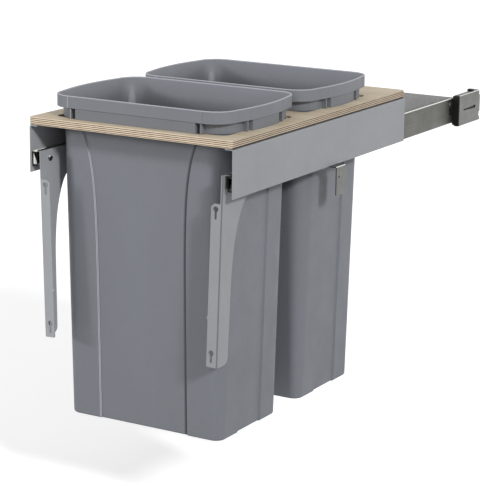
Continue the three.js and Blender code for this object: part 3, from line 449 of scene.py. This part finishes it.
def panel_shade(tree):
    """The painted shade before a front panel's right edge, which swings outwards towards the top."""
    axes = place(tree)
    above_deck = arithmetic(tree, "SUBTRACT", axes["Z"], DECK_TOP)
    swing = arithmetic(tree, "EXPONENT", arithmetic(tree, "DIVIDE", above_deck, LONG_PANEL_FLARE_HEIGHT))
    edge = arithmetic(tree, "MULTIPLY_ADD", swing, LONG_PANEL_FLARE, LONG_PANEL_HALF)
    past = arithmetic(tree, "SUBTRACT", axes["X"], edge)
    strip = product(tree, stepped(tree, past, *SHADE_START), stepped(tree, past, *SHADE_END))
    below = stepped(tree, above_deck, *SHADE_TOP)
    return product(tree, strip, below, stepped(tree, facing(tree)["Y"], *FRONT_FACE))


LEFT_LIGHT_REACH = 0.1  # from the middle; beyond it the left side's parts are painted lighter, as painted light
LEFT_LIGHT_SHARE = 1.17
# Slants of a bracket's fold, where painted shade darkens it.
FOLD_SHADE_SLANTS = (0.25, 0.42)


def grey_powder_coat():
    """Powder coat with a fine grain, painted lighter on the left side as painted light, and with painted
    shade along a bracket's fold.
    """
    material, tree, shader = new_material("grey_powder_coat")
    body = toned(tree, noise(tree, 9.0), colour(152, 154, 158), colour(158, 160, 164))
    # Painted light: the left side's parts are painted lighter.
    leftward = stepped(tree, place(tree)["X"], LEFT_LIGHT_REACH, -LEFT_LIGHT_REACH)
    painted_left_light = ramp(tree, leftward, [(0.0, grey(1)), (1.0, grey(LEFT_LIGHT_SHARE))])
    coated = multiplied(tree, speckled(tree, body, 1400.0, 0.93, 1.05), painted_left_light)
    # Painted shade along a bracket's fold.
    fold_shaded = mixed(tree, turned_right(tree, FOLD_SHADE_SLANTS), coated, colour(112, 114, 118))
    tree.links.new(fold_shaded, shader.inputs["Base Color"])
    roughened(tree, shader, noise(tree, 60.0), 0.42, 0.52)
    bump(tree, shader, noise(tree, 800.0, detail=2.0), strength=0.18, distance=0.0002)
    return material


FLAT_TOP_SHADE = (0.80, 0.92)  # Z of the way that a sheet's flat top looks, where it gets painted shade
TOP_EDGE_HIGHLIGHT = (0.30, 0.50)  # and of the way its eased top edge does, where it gets a painted highlight


def plated_steel(name, dark, light, rough, draw_scale=260.0, stretch=(1, 0.02, 1), metallic=1.0):
    """Plated steel: fine draw lines along it, cloudy plating, a painted highlight on the eased top edge and
    painted shade on the flat top.
    """
    material, tree, shader = new_material(name, metallic)
    cloud = toned(tree, noise(tree, 22.0, detail=5.0, roughness=0.65), dark, light)
    lines = noise(tree, draw_scale, detail=4.0, roughness=0.6, stretch=stretch)
    drawn = multiplied(tree, cloud, toned(tree, lines, grey(0.88), grey(1.06)))
    upward = facing(tree)["Z"]
    flat = stepped(tree, upward, *FLAT_TOP_SHADE)
    bend = arithmetic(tree, "SUBTRACT", stepped(tree, upward, *TOP_EDGE_HIGHLIGHT), flat)
    # Painted shade on flat tops, then a painted highlight on eased top edges.
    shaded = mixed(tree, flat, drawn, colour(84, 84, 82))
    tree.links.new(mixed(tree, bend, shaded, colour(235, 235, 232)), shader.inputs["Base Color"])
    roughened(tree, shader, noise(tree, 35.0, detail=4.0, roughness=0.6), rough - 0.06, rough + 0.08)
    bump(tree, shader, lines, strength=0.12, distance=0.0001)
    return material


def black_plastic():
    material, tree, shader = new_material("black_plastic", specular=0.25)
    body = toned(tree, noise(tree, 60.0), colour(12, 12, 12), colour(22, 22, 22))
    tree.links.new(body, shader.inputs["Base Color"])
    roughened(tree, shader, noise(tree, 120.0), 0.38, 0.5)
    bump(tree, shader, noise(tree, 1800.0, detail=2.0), strength=0.2, distance=0.0001)
    return material


NYLON_PAINTED_GLOW = 0.5  # painted glow: emission that stands in for the light coming through it from behind


def pale_nylon():
    material, tree, shader = new_material("pale_nylon")
    body = toned(tree, noise(tree, 50.0), colour(236, 236, 230), colour(246, 246, 242))
    tree.links.new(body, shader.inputs["Base Color"])
    # Painted glow: the pad gives out its own colour as light.
    tree.links.new(body, shader.inputs["Emission Color"])
    shader.inputs["Emission Strength"].default_value = NYLON_PAINTED_GLOW
    roughened(tree, shader, noise(tree, 90.0), 0.4, 0.5)
    bump(tree, shader, noise(tree, 1600.0, detail=2.0), strength=0.12, distance=0.0001)
    return material


# Plies are counted in pairs of a light and a dark one.
DARK_PLIES = 4  # with a light one below, above and between them
LIGHT_SHARE = 0.62  # of a pair
PLY_BLUR = 0.05
PLY_WOBBLE = 0.08
UNDERSIDE = (0.35, 0.25)  # where the shade under the lowest ply has ended and is still full
RAIL_SHADE = 0.62  # how much further up the shade between ply and rail reaches, along the sides


def birch_ply():
    """Sanded face veneer on top and below; at the edges, plies that run along X and Y in turn."""
    material, tree, shader = new_material("birch_ply", specular=0.35)
    figure = noise(tree, 26.0, detail=6.0, roughness=0.62, stretch=(0.12, 1, 1))
    face = ramp(tree, figure, [
        (0.28, colour(196, 178, 150)),
        (0.5, colour(212, 198, 174)),
        (0.75, colour(222, 211, 190)),
    ])
    grain = noise(tree, 420.0, roughness=0.6, stretch=(0.06, 1, 1))
    pores = ramp(tree, grain, [(0.36, (0.84, 0.80, 0.74, 1)), (0.5, grey(1))])
    veneer = multiplied(tree, face, pores)

    sideways = facing_along(tree, "X", 2.0)
    fibre = noise(tree, 210.0, detail=4.0, roughness=0.7, stretch=(0.25, 0.25, 1))
    light_front = toned(tree, fibre, colour(228, 207, 178), colour(248, 234, 210))
    light_side = toned(tree, fibre, colour(190, 174, 152), colour(214, 198, 176))
    dark_front = toned(tree, fibre, colour(76, 47, 28), colour(112, 77, 52))
    dark_side = toned(tree, fibre, colour(62, 42, 24), colour(94, 70, 46))
    light = mixed(tree, sideways, light_front, light_side)
    dark = mixed(tree, sideways, dark_front, dark_side)
    dark_ply, underside = ply_bands(tree, sideways)
    edge = mixed(tree, underside, mixed(tree, dark_ply, light, dark), colour(34, 30, 26))

    tree.links.new(mixed(tree, facing_along(tree, "Z", 6.0), edge, veneer), shader.inputs["Base Color"])
    roughened(tree, shader, figure, 0.5, 0.66)
    pattern = noise(tree, 500.0, roughness=0.6, stretch=(0.08, 1, 1))
    bump(tree, shader, pattern, strength=0.18, distance=0.0002)
    return material


def ply_bands(tree, sideways):
    """Where a dark ply shows at an edge, and where the shade under the lowest ply does."""
    height = tree.nodes.new("ShaderNodeMapRange")
    height.clamp = False
    height.inputs["From Min"].default_value = DECK_BOTTOM
    height.inputs["From Max"].default_value = DECK_TOP
    height.inputs["To Max"].default_value = DARK_PLIES + LIGHT_SHARE
    tree.links.new(place(tree)["Z"], height.inputs["Value"])
    pairs = height.outputs["Result"]
    wobble = noise(tree, 12.0, detail=2.0, stretch=(1, 1, 0.2))
    within = arithmetic(tree, "FRACT", arithmetic(tree, "MULTIPLY_ADD", wobble, PLY_WOBBLE, pairs))
    dark = stepped(tree, within, LIGHT_SHARE - PLY_BLUR, LIGHT_SHARE + PLY_BLUR)
    lowered = arithmetic(tree, "MULTIPLY_ADD", sideways, -RAIL_SHADE, pairs)
    return dark, stepped(tree, lowered, *UNDERSIDE)


# ---- mesh helpers ----


def add_object(name, bm):
    mesh = bpy.data.meshes.new(name)
    bm.to_mesh(mesh)
    bm.free()
    obj = bpy.data.objects.new(name, mesh)
    bpy.context.scene.collection.objects.link(obj)
    return obj


def finish_piece(name, bm, materials, body, nodes, sharp=HARD_ANGLE):
    """Makes a piece of the object from a bmesh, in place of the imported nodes."""
    obj = add_object(name, bm)
    for material in materials:
        obj.data.materials.append(material)
    obj.data.shade_smooth()
    obj.data.set_sharp_from_angle(angle=sharp)
    weighted = obj.modifiers.new("even_shading", "WEIGHTED_NORMAL")
    weighted.keep_sharp = True
    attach(obj, body)
    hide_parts(*nodes)


def copy_of(node):
    """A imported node's mesh with its loose triangles merged into whole faces."""
    bm = bmesh.new()
    bm.from_mesh(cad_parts[node].data)
    bmesh.ops.remove_doubles(bm, verts=bm.verts, dist=WELD)
    bmesh.ops.dissolve_limit(bm, angle_limit=FLAT_ANGLE, verts=bm.verts, edges=bm.edges)
    return bm


def bevelled(bm, edges, width, segments):
    bmesh.ops.bevel(
        bm, geom=edges, offset=width, offset_type="OFFSET", segments=segments, profile=0.5,
        affect="EDGES", clamp_overlap=True, material=-1,
    )


def ease_edges(bm, width):
    """Bevels the edges between faces that meet at a hard angle."""
    hard = [edge for edge in bm.edges if len(edge.link_faces) == 2 and edge.calc_face_angle() > HARD_ANGLE]
    bevelled(bm, hard, width, 2)


def eased_copy(node, width, material, body):
    bm = copy_of(node)
    ease_edges(bm, width)
    finish_piece(f"{node}_finished", bm, [material], body, [node])


def outer_and_inner(node, side):
    """X of a node's face that is turned away from the unit's middle, and of the opposite one."""
    low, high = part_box(node)
    return (high[0], low[0]) if SIDES[side] > 0 else (low[0], high[0])


# ---- bins ----

# One level of a bin. The middle part of each long and short side has its half length and stands out by a
# step, or is sunk where that is negative. The short sides bow outwards, and their middle parts by short_bow.
# Edge is the width of each step, and groove the depth of the seam in it.
Level = namedtuple("Level", [
    "height", "half_x", "half_y", "corner",
    "long_half", "long_step", "short_half", "short_step",
    "bow", "short_bow", "edge", "groove",
])
PANEL_SHARES = (0, 0.25, 0.5, 0.75, 1)  # where the points lie along a side's middle part
SLOPE_SHARES = (0.25, 0.5, 0.75, 1)  # across its step
REST_SHARES = (0.35, 0.7)  # and from there to the corner
ARC_STEPS = 12  # round a corner
QUARTER = 2 * (len(PANEL_SHARES) + len(SLOPE_SHARES) + len(REST_SHARES)) - 1 + ARC_STEPS
COLUMNS = 4 * QUARTER


def eased(share):
    return share * share * (3 - 2 * share)


def quarter_outline(level):
    """One quarter of a level, from the middle of a short side to the middle of a long side."""
    straight_y = level.half_y - level.corner
    straight_x = level.half_x - level.corner

    def bowed(depth, y):
        return depth * max(0, 1 - (y / straight_y) ** 2)

    def step_out(step, share):
        return step * (1 - eased(share)) - level.groove * math.sin(math.pi * share)

    points = []
    for share in PANEL_SHARES:
        y = share * level.short_half
        points.append((level.half_x + level.short_step + bowed(level.short_bow, y), y))
    for share in SLOPE_SHARES:
        y = level.short_half + share * level.edge
        proud = bowed(level.short_bow, y) * (1 - eased(share)) + bowed(level.bow, y) * eased(share)
        points.append((level.half_x + step_out(level.short_step, share) + proud, y))
    slope_end = level.short_half + level.edge
    for share in REST_SHARES:
        y = slope_end + share * (straight_y - slope_end)
        points.append((level.half_x + bowed(level.bow, y), y))
    for step in range(ARC_STEPS + 1):
        angle = step / ARC_STEPS * math.pi / 2
        across, along = level.corner * math.cos(angle), level.corner * math.sin(angle)
        points.append((straight_x + across, straight_y + along))
    slope_end = level.long_half + level.edge
    for share in reversed(REST_SHARES):
        points.append((slope_end + share * (straight_x - slope_end), level.half_y))
    for share in reversed(SLOPE_SHARES):
        x = level.long_half + share * level.edge
        points.append((x, level.half_y + step_out(level.long_step, share)))
    for share in reversed(PANEL_SHARES):
        points.append((share * level.long_half, level.half_y + level.long_step))
    return points


def level_point(quarter, column):
    """A column's place on a level; the quarters are mirror images of each other."""
    turn, step = divmod(column, QUARTER)
    x, y = quarter[step] if turn % 2 == 0 else quarter[QUARTER - step]
    return (x if turn in (0, 3) else -x, y if turn in (0, 1) else -y)


def blended(foot, top, share):
    return foot + (top - foot) * share


def body_level(height, inset, recess=PANEL_RECESS):
    """The tapered body at a height above its foot, drawn in by inset."""
    share = min(max(height / BODY_DEPTH, 0), 1)
    half_x = blended(FOOT_LENGTH, TOP_LENGTH, share) / 2 - inset
    half_y = blended(FOOT_WIDTH, TOP_WIDTH, share) / 2 - inset
    corner = max(blended(FOOT_CORNER, TOP_CORNER, share) - inset, LEAST_CORNER)
    flare = LONG_PANEL_FLARE * math.exp(min(height - BODY_DEPTH, 0) / LONG_PANEL_FLARE_HEIGHT)
    long_half = min(LONG_PANEL_HALF + flare, half_x - corner - PANEL_EDGE - LONG_PANEL_MARGIN)
    return Level(
        BIN_FOOT + height, half_x, half_y, corner, long_half, -recess,
        SHORT_PANEL_HALF, -recess, 0, 0, PANEL_EDGE, 0,
    )


def inner_level(height, inset):
    """The inside of the body, which is plain where the outside has its sunk panels."""
    return body_level(height, BIN_WALL + PANEL_RECESS + inset, 0)


def collar_level(height):
    half_x = TOP_LENGTH / 2 + COLLAR_FLARE
    half_y = TOP_WIDTH / 2 + COLLAR_FLARE
    return Level(
        height, half_x, half_y, TOP_CORNER,
        PLATE_HALF, BAND_WIDTH / 2 - PLATE_INSET - half_y,
        SHORT_PLATE_HALF, BAND_LENGTH / 2 - PLATE_INSET - half_x,
        0, BAND_BOW, PLATE_END, 0,
    )


def band_level(height, inset, groove=SEAM_DEPTH):
    return Level(
        height, BAND_LENGTH / 2 - inset, BAND_WIDTH / 2 - inset, BAND_CORNER - inset,
        SEAM_LONG, 0, SEAM_SHORT, 0, BAND_BOW, BAND_BOW, SEAM_WIDTH, groove,
    )


def rounding(radius, steps):
    """(in, up) places on a quarter circle, from the flat to the upright face."""
    angles = [step / steps * math.pi / 2 for step in range(steps + 1)]
    return [(radius * (1 - math.sin(angle)), radius * (1 - math.cos(angle))) for angle in angles]


FOOT_TURN = rounding(FOOT_EDGE, 4)
LIP_TURN = rounding(LIP_ROUNDING, 3)
WALL_LEVELS = 26
WALL_GATHER = 1.7  # levels lie closer towards the top
SHOULDER_STEPS = 14
SHOULDER_GATHER = 1.4  # levels lie closer towards the lip
SHOULDER_START = 1.2 * LIP_ROUNDING  # below the lip
SHOULDER_END = BODY_DEPTH - 0.015  # above the foot, where the inside has its full taper
SHOULDER_CURVE = 3.3


def wall_heights():
    """Heights above the foot at which the wall has a level."""
    heights = [BODY_DEPTH * (1 - (1 - step / WALL_LEVELS) ** WALL_GATHER) for step in range(1, WALL_LEVELS)]
    return [height for height in heights if height > FOOT_EDGE + 2 * BIN_WALL]


def outer_levels():
    """From the foot up the outside and over the lip."""
    yield from (body_level(up, inward) for inward, up in FOOT_TURN)
    yield from (body_level(height, 0) for height in wall_heights())
    yield body_level(COLLAR_FOOT - BIN_FOOT, 0)
    yield collar_level(COLLAR_FOOT)
    yield collar_level(BAND_FOOT)
    yield band_level(BAND_FOOT, LIP_ROUNDING / 2)
    yield band_level(BAND_FOOT + LIP_ROUNDING / 2, 0)
    yield from (band_level(BIN_LIP - up, inward) for inward, up in reversed(LIP_TURN))
    yield from (band_level(BIN_LIP - up, BIN_WALL - inward, 0) for inward, up in LIP_TURN)


def inner_levels():
    """From the end of the shoulder down the inside."""
    yield from (inner_level(height, 0) for height in reversed(wall_heights()) if height < SHOULDER_END)
    yield from (inner_level(BIN_WALL + up, inward) for inward, up in reversed(FOOT_TURN))


def inner_shoulder():
    """Rows of the inside's soft fall from the wide band down to the narrower body."""
    top = band_level(BIN_LIP - SHOULDER_START, BIN_WALL, 0)
    bottom = inner_level(SHOULDER_END, 0)
    above, below = quarter_outline(top), quarter_outline(bottom)
    for step in range(SHOULDER_STEPS + 1):
        share = (step / SHOULDER_STEPS) ** SHOULDER_GATHER
        turned_in = 1 - (1 - share) ** SHOULDER_CURVE
        points = [
            (blended(x, inner_x, turned_in), blended(y, inner_y, turned_in))
            for (x, y), (inner_x, inner_y) in zip(above, below)
        ]
        yield blended(top.height, bottom.height, share), points


def bin_rows():
    """The height and a quarter of each of the shell's rows, and which row is the last of the outside."""
    outer = [(level.height, quarter_outline(level)) for level in outer_levels()]
    inner = [(level.height, quarter_outline(level)) for level in inner_levels()]
    return [*outer, *inner_shoulder(), *inner], len(outer) - 1


def unit_tube(rows):
    """A capped tube of unit circles, one above the other."""
    bm = bmesh.new()
    circle = bmesh.ops.create_circle(bm, cap_ends=True, segments=COLUMNS, radius=1)
    rim = list({edge for vert in circle["verts"] for edge in vert.link_edges})
    for _ in range(rows - 1):
        raised = bmesh.ops.extrude_edge_only(bm, edges=rim)["geom"]
        corners = [item for item in raised if isinstance(item, bmesh.types.BMVert)]
        bmesh.ops.translate(bm, verts=corners, vec=(0, 0, 1))
        rim = [item for item in raised if isinstance(item, bmesh.types.BMEdge) and item.is_boundary]
    bmesh.ops.contextual_create(bm, geom=rim)
    return bm


def bin_shell(centre):
    """A bin from a tube whose rows are laid on its levels; the inside's faces take the second material."""
    rows, last_outer = bin_rows()
    bm = unit_tube(len(rows))
    for face in bm.faces:
        face.material_index = int(face.calc_center_median().z > last_outer)
    for vert in bm.verts:
        row = round(vert.co.z)
        column = round(math.atan2(vert.co.y, vert.co.x) / (2 * math.pi) * COLUMNS) % COLUMNS
        height, quarter = rows[row]
        x, y = level_point(quarter, column)
        vert.co = (x, y + centre, height)
    bmesh.ops.recalc_face_normals(bm, faces=bm.faces)
    add_fins(bm, centre)
    return bm


def add_fin(bm, low, high):
    """A box between two corners, with its edges eased."""
    made = bmesh.ops.create_cube(bm, size=1)["verts"]
    bmesh.ops.scale(bm, verts=made, vec=[b - a for a, b in zip(low, high)])
    bmesh.ops.translate(bm, verts=made, vec=[(a + b) / 2 for a, b in zip(low, high)])
    bevelled(bm, list({edge for vert in made for edge in vert.link_edges}), FIN_EASE, 1)


def add_fins(bm, centre):
    """Upright fins under the band, four on the long sides and four on the short ones."""
    root_x = TOP_LENGTH / 2 + COLLAR_FLARE - BIN_WALL / 2
    root_y = TOP_WIDTH / 2 + COLLAR_FLARE - BIN_WALL / 2
    bow = BAND_BOW * (1 - (FIN_SHORT / (BAND_WIDTH / 2 - BAND_CORNER)) ** 2)
    tip_x = BAND_LENGTH / 2 + bow - PLATE_INSET
    tip_y = BAND_WIDTH / 2 - PLATE_INSET
    low, high = COLLAR_FOOT, BAND_FOOT + BIN_WALL / 2
    half = FIN_THICKNESS / 2
    for side_x in (-1, 1):
        for side_y in (-1, 1):
            x = side_x * FIN_LONG
            near, far = sorted((side_y * root_y, side_y * tip_y))
            add_fin(bm, (x - half, centre + near, low), (x + half, centre + far, high))
            y = side_y * FIN_SHORT
            near, far = sorted((side_x * root_x, side_x * tip_x))
            add_fin(bm, (near, centre + y - half, low), (far, centre + y + half, high))


# ---- fasteners ----

SHANK_RADIUS = 0.002
ROUND_SEGMENTS = 28
RIVET_HEAD, RIVET_HEAD_HEIGHT = 0.004, 0.0012
DOME_STEPS = 5
DOME_SIDE = 0.25  # upright share of a domed head's height
MANDREL_HOLE = 0.0011  # radius and depth of the hole in a rivet's head
HOLE_FLOOR, HOLE_LAND = 0.8, 1.3  # shares of its radius: its floor's, and where the dome begins
SCREW_HEAD, SCREW_HEAD_HEIGHT = 0.0045, 0.0024
PAN_SHARES = (0.4, 0.6, 0.75, 0.88)  # of a screw head's radius
PAN_FALL, PAN_SIDE = 0.25, 0.55  # shares of its height: its crown's fall and its upright side
CROSS_LENGTH, CROSS_WIDTH, CROSS_DEPTH = 0.0044, 0.0009, 0.0013
CROSS_TIP = 0.6  # share of its length and width where the recess is deepest
SHADE_RING_START = 0.0022  # radius at which a bracket screw's ring of painted shade begins
TAIL_RADIUS = 0.0035
RAIL_TAIL, PLATE_TAIL = 0.0012, 0.0008  # heights; the plate's passes the rail's cheek
TAIL_SIDE, TAIL_END = 0.5, 0.7  # shares: of its height that is upright, and of its radius at the end
FASTENER_ANGLE = math.radians(40)


def turned(profile):
    """A round solid from (radius, height) points, the first and last of them on the axis."""
    bm = bmesh.new()
    line = [bm.verts.new((radius, 0, height)) for radius, height in profile]
    edges = [bm.edges.new(pair) for pair in zip(line, line[1:])]
    bmesh.ops.spin(
        bm, geom=line + edges, cent=(0, 0, 0), axis=(0, 0, 1), angle=2 * math.pi,
        steps=ROUND_SEGMENTS, use_merge=True,
    )
    bmesh.ops.remove_doubles(bm, verts=bm.verts, dist=WELD)
    bmesh.ops.recalc_face_normals(bm, faces=bm.faces)
    return bm


def node_length(node, axis):
    low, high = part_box(node)
    return high[axis] - low[axis]


def rivet(node, axis, tail_height=0):
    """A blind rivet: a domed head with the hole left by its mandrel, and a flattened tail."""
    head = RIVET_HEAD_HEIGHT
    shank = node_length(node, axis) - head - tail_height
    hole = MANDREL_HOLE
    points = [(0, -head + hole), (hole * HOLE_FLOOR, -head + hole), (hole, -head)]
    for step in range(DOME_STEPS + 1):
        angle = step / DOME_STEPS * math.pi / 2
        radius = RIVET_HEAD * math.sin(angle)
        if radius > hole * HOLE_LAND:
            points.append((radius, -head * (DOME_SIDE + (1 - DOME_SIDE) * math.cos(angle))))
    points += [(RIVET_HEAD, 0), (SHANK_RADIUS, 0), (SHANK_RADIUS, shank)]
    if tail_height:
        points += [(TAIL_RADIUS, shank), (TAIL_RADIUS, shank + tail_height * TAIL_SIDE)]
        points += [(TAIL_RADIUS * TAIL_END, shank + tail_height)]
    points += [(0, shank + tail_height)]
    return turned(points)


def screw(node, axis, tail_height=0):
    """A pan head screw, its head at the bottom; a tail stands for its nut."""
    head = SCREW_HEAD_HEIGHT
    shank = node_length(node, axis) - head - tail_height
    points = [(0, -head)]
    points += [(SCREW_HEAD * share, -head * (1 - PAN_FALL * share ** 3)) for share in PAN_SHARES]
    points += [(SCREW_HEAD, -head * PAN_SIDE), (SCREW_HEAD, 0), (SHANK_RADIUS, 0), (SHANK_RADIUS, shank)]
    if tail_height:
        points += [(TAIL_RADIUS, shank), (TAIL_RADIUS, shank + tail_height)]
    points += [(0, shank + tail_height)]
    return cut_cross(turned(points), head)


def cut_cross(bm, head_height):
    """Sinks a cross recess into a screw's head."""
    solid = add_object("screw_blank", bm)
    tool_bm = bmesh.new()
    for length, width in ((CROSS_LENGTH, CROSS_WIDTH), (CROSS_WIDTH, CROSS_LENGTH)):
        arm = bmesh.ops.create_cube(tool_bm, size=1)["verts"]
        bmesh.ops.scale(tool_bm, verts=arm, vec=(length, width, 2 * CROSS_DEPTH))
        bmesh.ops.translate(tool_bm, verts=arm, vec=(0, 0, -head_height))
        tips = [vert for vert in arm if vert.co.z > -head_height]
        bmesh.ops.scale(tool_bm, verts=tips, vec=(CROSS_TIP, CROSS_TIP, 1))
    tool = add_object("cross_tool", tool_bm)
    cut = solid.modifiers.new("cross", "BOOLEAN")
    cut.operation = "DIFFERENCE"
    cut.solver = "EXACT"
    cut.use_self = True
    cut.object = tool
    made = bmesh.new()
    made.from_object(solid, bpy.context.evaluated_depsgraph_get())
    for obj in (solid, tool):
        mesh = obj.data
        bpy.data.objects.remove(obj)
        bpy.data.meshes.remove(mesh)
    return made


def painted_shade_ring(bm):
    """Gives the outer ring of a head, drawn below its seat, the second material: a dark finish that paints
    the shade in the gap around the head.
    """
    for face in bm.faces:
        middle = face.calc_center_median()
        if middle.z < 0 and math.hypot(middle.x, middle.y) > SHADE_RING_START:
            face.material_index = 1
    return bm


OUTWARDS = {side: Matrix.Rotation(sign * math.pi / 2, 4, "Y") for side, sign in SIDES.items()}
UPWARDS = Matrix.Identity(4)


def place_fastener(node, bm, turn, materials, body):
    """Puts a fastener, drawn along +Z from a seat at its origin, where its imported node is."""
    low, high = (Vector(corner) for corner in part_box(node))
    bmesh.ops.transform(bm, matrix=turn, verts=bm.verts)
    own_low = Vector([min(vert.co[axis] for vert in bm.verts) for axis in range(3)])
    own_high = Vector([max(vert.co[axis] for vert in bm.verts) for axis in range(3)])
    bmesh.ops.translate(bm, verts=bm.verts, vec=(low + high - own_low - own_high) / 2)
    finish_piece(f"{node}_finished", bm, materials, body, [node], FASTENER_ANGLE)


def fasteners(side, zinc, dark):
    across, up = 0, 2
    turn = OUTWARDS[side]
    for index in (1, 2, 3):
        node = f"rail_rivet_{side}_{index}"
        place_fastener(node, rivet(node, across, RAIL_TAIL), turn, [zinc], "platform")
        node = f"platform_screw_{side}_{index}"
        place_fastener(node, screw(node, up), UPWARDS, [zinc], "platform")
    for index in (1, 2):
        node = f"bracket_screw_{side}_{index}"
        ringed = painted_shade_ring(screw(node, across, RAIL_TAIL))
        place_fastener(node, ringed, turn, [zinc, dark], "platform")
    node = f"cross_plate_rivet_{side}"
    place_fastener(node, rivet(node, across, PLATE_TAIL), turn, [zinc], "cabinet_frame")
    node = f"end_block_screw_{side}"
    place_fastener(node, screw(node, across), turn, [zinc], "cabinet_frame")
    node = f"tab_rivet_{side}"
    place_fastener(node, rivet(node, up), UPWARDS, [zinc], "cabinet_frame")


# ---- slides ----

CAGE_BALLS = 5  # in each of a cage's two rows
Balls = namedtuple("Balls", "inset radius row")  # row is the height of one above the slide's middle
CAGES = {
    "outer_ball_cage": Balls(inset=0.0056, radius=0.00173, row=0.019375),
    "inner_ball_cage": Balls(inset=0.0076, radius=0.00240, row=0.0136),
}


def ball_cage(kind, side, material):
    """The cage's strip with true round balls over its faceted ones."""
    node = f"{kind}_{side}"
    balls = CAGES[kind]
    low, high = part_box(node)
    slide_face, _ = outer_and_inner(f"slide_cabinet_member_{side}", side)
    x = slide_face - SIDES[side] * balls.inset
    middle = (low[2] + high[2]) / 2
    spacing = (high[1] - low[1]) / CAGE_BALLS
    bm = copy_of(node)
    for index in range(CAGE_BALLS):
        for row in (-balls.row, balls.row):
            spot = Matrix.Translation((x, low[1] + (index + 0.5) * spacing, middle + row))
            bmesh.ops.create_icosphere(bm, subdivisions=3, radius=balls.radius, matrix=spot)
    body = node.replace("ball_cage", "cage")
    finish_piece(f"{node}_finished", bm, [material], body, [node])


def cabinet_member(side, material):
    """The cabinet member with a pair of pressed stops on its outer face."""
    node = f"slide_cabinet_member_{side}"
    low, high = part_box(node)
    outer, _ = outer_and_inner(node, side)
    x = outer - SIDES[side] * DIMPLE_HEIGHT * DIMPLE_SUNK
    bm = copy_of(node)
    ease_edges(bm, SHEET_EDGE)
    for z in (low[2] + DIMPLE_INSET, high[2] - DIMPLE_INSET):
        made = bmesh.ops.create_uvsphere(bm, u_segments=16, v_segments=8, radius=DIMPLE_RADIUS)["verts"]
        bmesh.ops.scale(bm, verts=made, vec=(DIMPLE_HEIGHT / DIMPLE_RADIUS, 1, 1))
        bmesh.ops.translate(bm, verts=made, vec=(x, low[1] + DIMPLE_PLACE, z))
    finish_piece(f"{node}_finished", bm, [material], "cabinet_frame", [node])


def open_bumper(side, material):
    """The bumper's ring with its side walls drawn as thin as they show."""
    node = f"front_bumper_{side}"
    sign = SIDES[side]
    bm = copy_of(node)
    for face, inward, (solid, shown) in zip(outer_and_inner(node, side), (-sign, sign), RING_WALLS):
        for vert in bm.verts:
            if abs(vert.co.x - face - inward * solid) < 10 * WELD:
                vert.co.x = face + inward * shown
    ease_edges(bm, SHEET_EDGE)
    finish_piece(f"{node}_finished", bm, [material], "platform", [node])


# ---- assembly ----

EVEN = (1, 1, 1)  # plating without draw lines


def main():
    photo_camera()
    studio()
    bpy.context.scene.view_settings.view_transform = "Standard"

    ply = birch_ply()
    bin_finishes = [outside_polypropylene(), inside_polypropylene()]
    powder = grey_powder_coat()
    slide = plated_steel("slide_zinc", colour(95, 96, 91), colour(111, 112, 106), rough=0.42)
    plate = plated_steel(
        "cross_plate_zinc", colour(150, 151, 150), colour(166, 167, 166), rough=0.5, metallic=0.3,
    )
    bright = plated_steel(
        "bright_zinc", colour(105, 105, 102), colour(121, 121, 118), rough=0.32,
        draw_scale=180.0, stretch=(1, 0.3, 1),
    )
    balls = plated_steel(
        "ball_steel", colour(196, 196, 198), colour(216, 216, 218), rough=0.16,
        draw_scale=120.0, stretch=EVEN,
    )
    # Near-black finish for the painted shade around the bracket screws' heads.
    ring = plated_steel(
        "screw_ring_painted_shade", colour(14, 14, 14), colour(24, 24, 23), rough=0.6,
        draw_scale=120.0, stretch=EVEN, metallic=0.0,
    )
    black = black_plastic()
    nylon = pale_nylon()

    for name, centre in BIN_CENTRES.items():
        body = f"{name.removeprefix('bin_')}_bin"
        finish_piece(f"{name}_shell", bin_shell(centre), bin_finishes, body, [name])

    eased_copy("plywood_platform", PLY_EDGE, ply, "platform")
    eased_copy("rear_cross_plate", SHEET_EDGE, plate, "cabinet_frame")
    for side in SIDES:
        eased_copy(f"side_rail_{side}", SHEET_EDGE, powder, "platform")
        eased_copy(f"door_bracket_{side}", SHEET_EDGE, powder, "platform")
        eased_copy(f"slide_drawer_member_{side}", SHEET_EDGE, slide, "platform")
        eased_copy(f"slide_middle_member_{side}", SHEET_EDGE, slide, f"middle_{side}")
        cabinet_member(side, slide)
        ball_cage("outer_ball_cage", side, balls)
        ball_cage("inner_ball_cage", side, balls)
        open_bumper(side, black)
        eased_copy(f"slide_pad_{side}", SHEET_EDGE, nylon, "platform")
        eased_copy(f"rear_end_block_{side}", PLASTIC_EDGE, black, "cabinet_frame")
        eased_copy(f"rear_bracket_{side}", SHEET_EDGE, bright, "cabinet_frame")
        eased_copy(f"front_tab_{side}", SHEET_EDGE, bright, "cabinet_frame")
        fasteners(side, bright, ring)


main()

boxes = {"cad": cad_bounds, "visual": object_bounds()}
{name: [list(map(float, corner)) for corner in box] for name, box in boxes.items()}
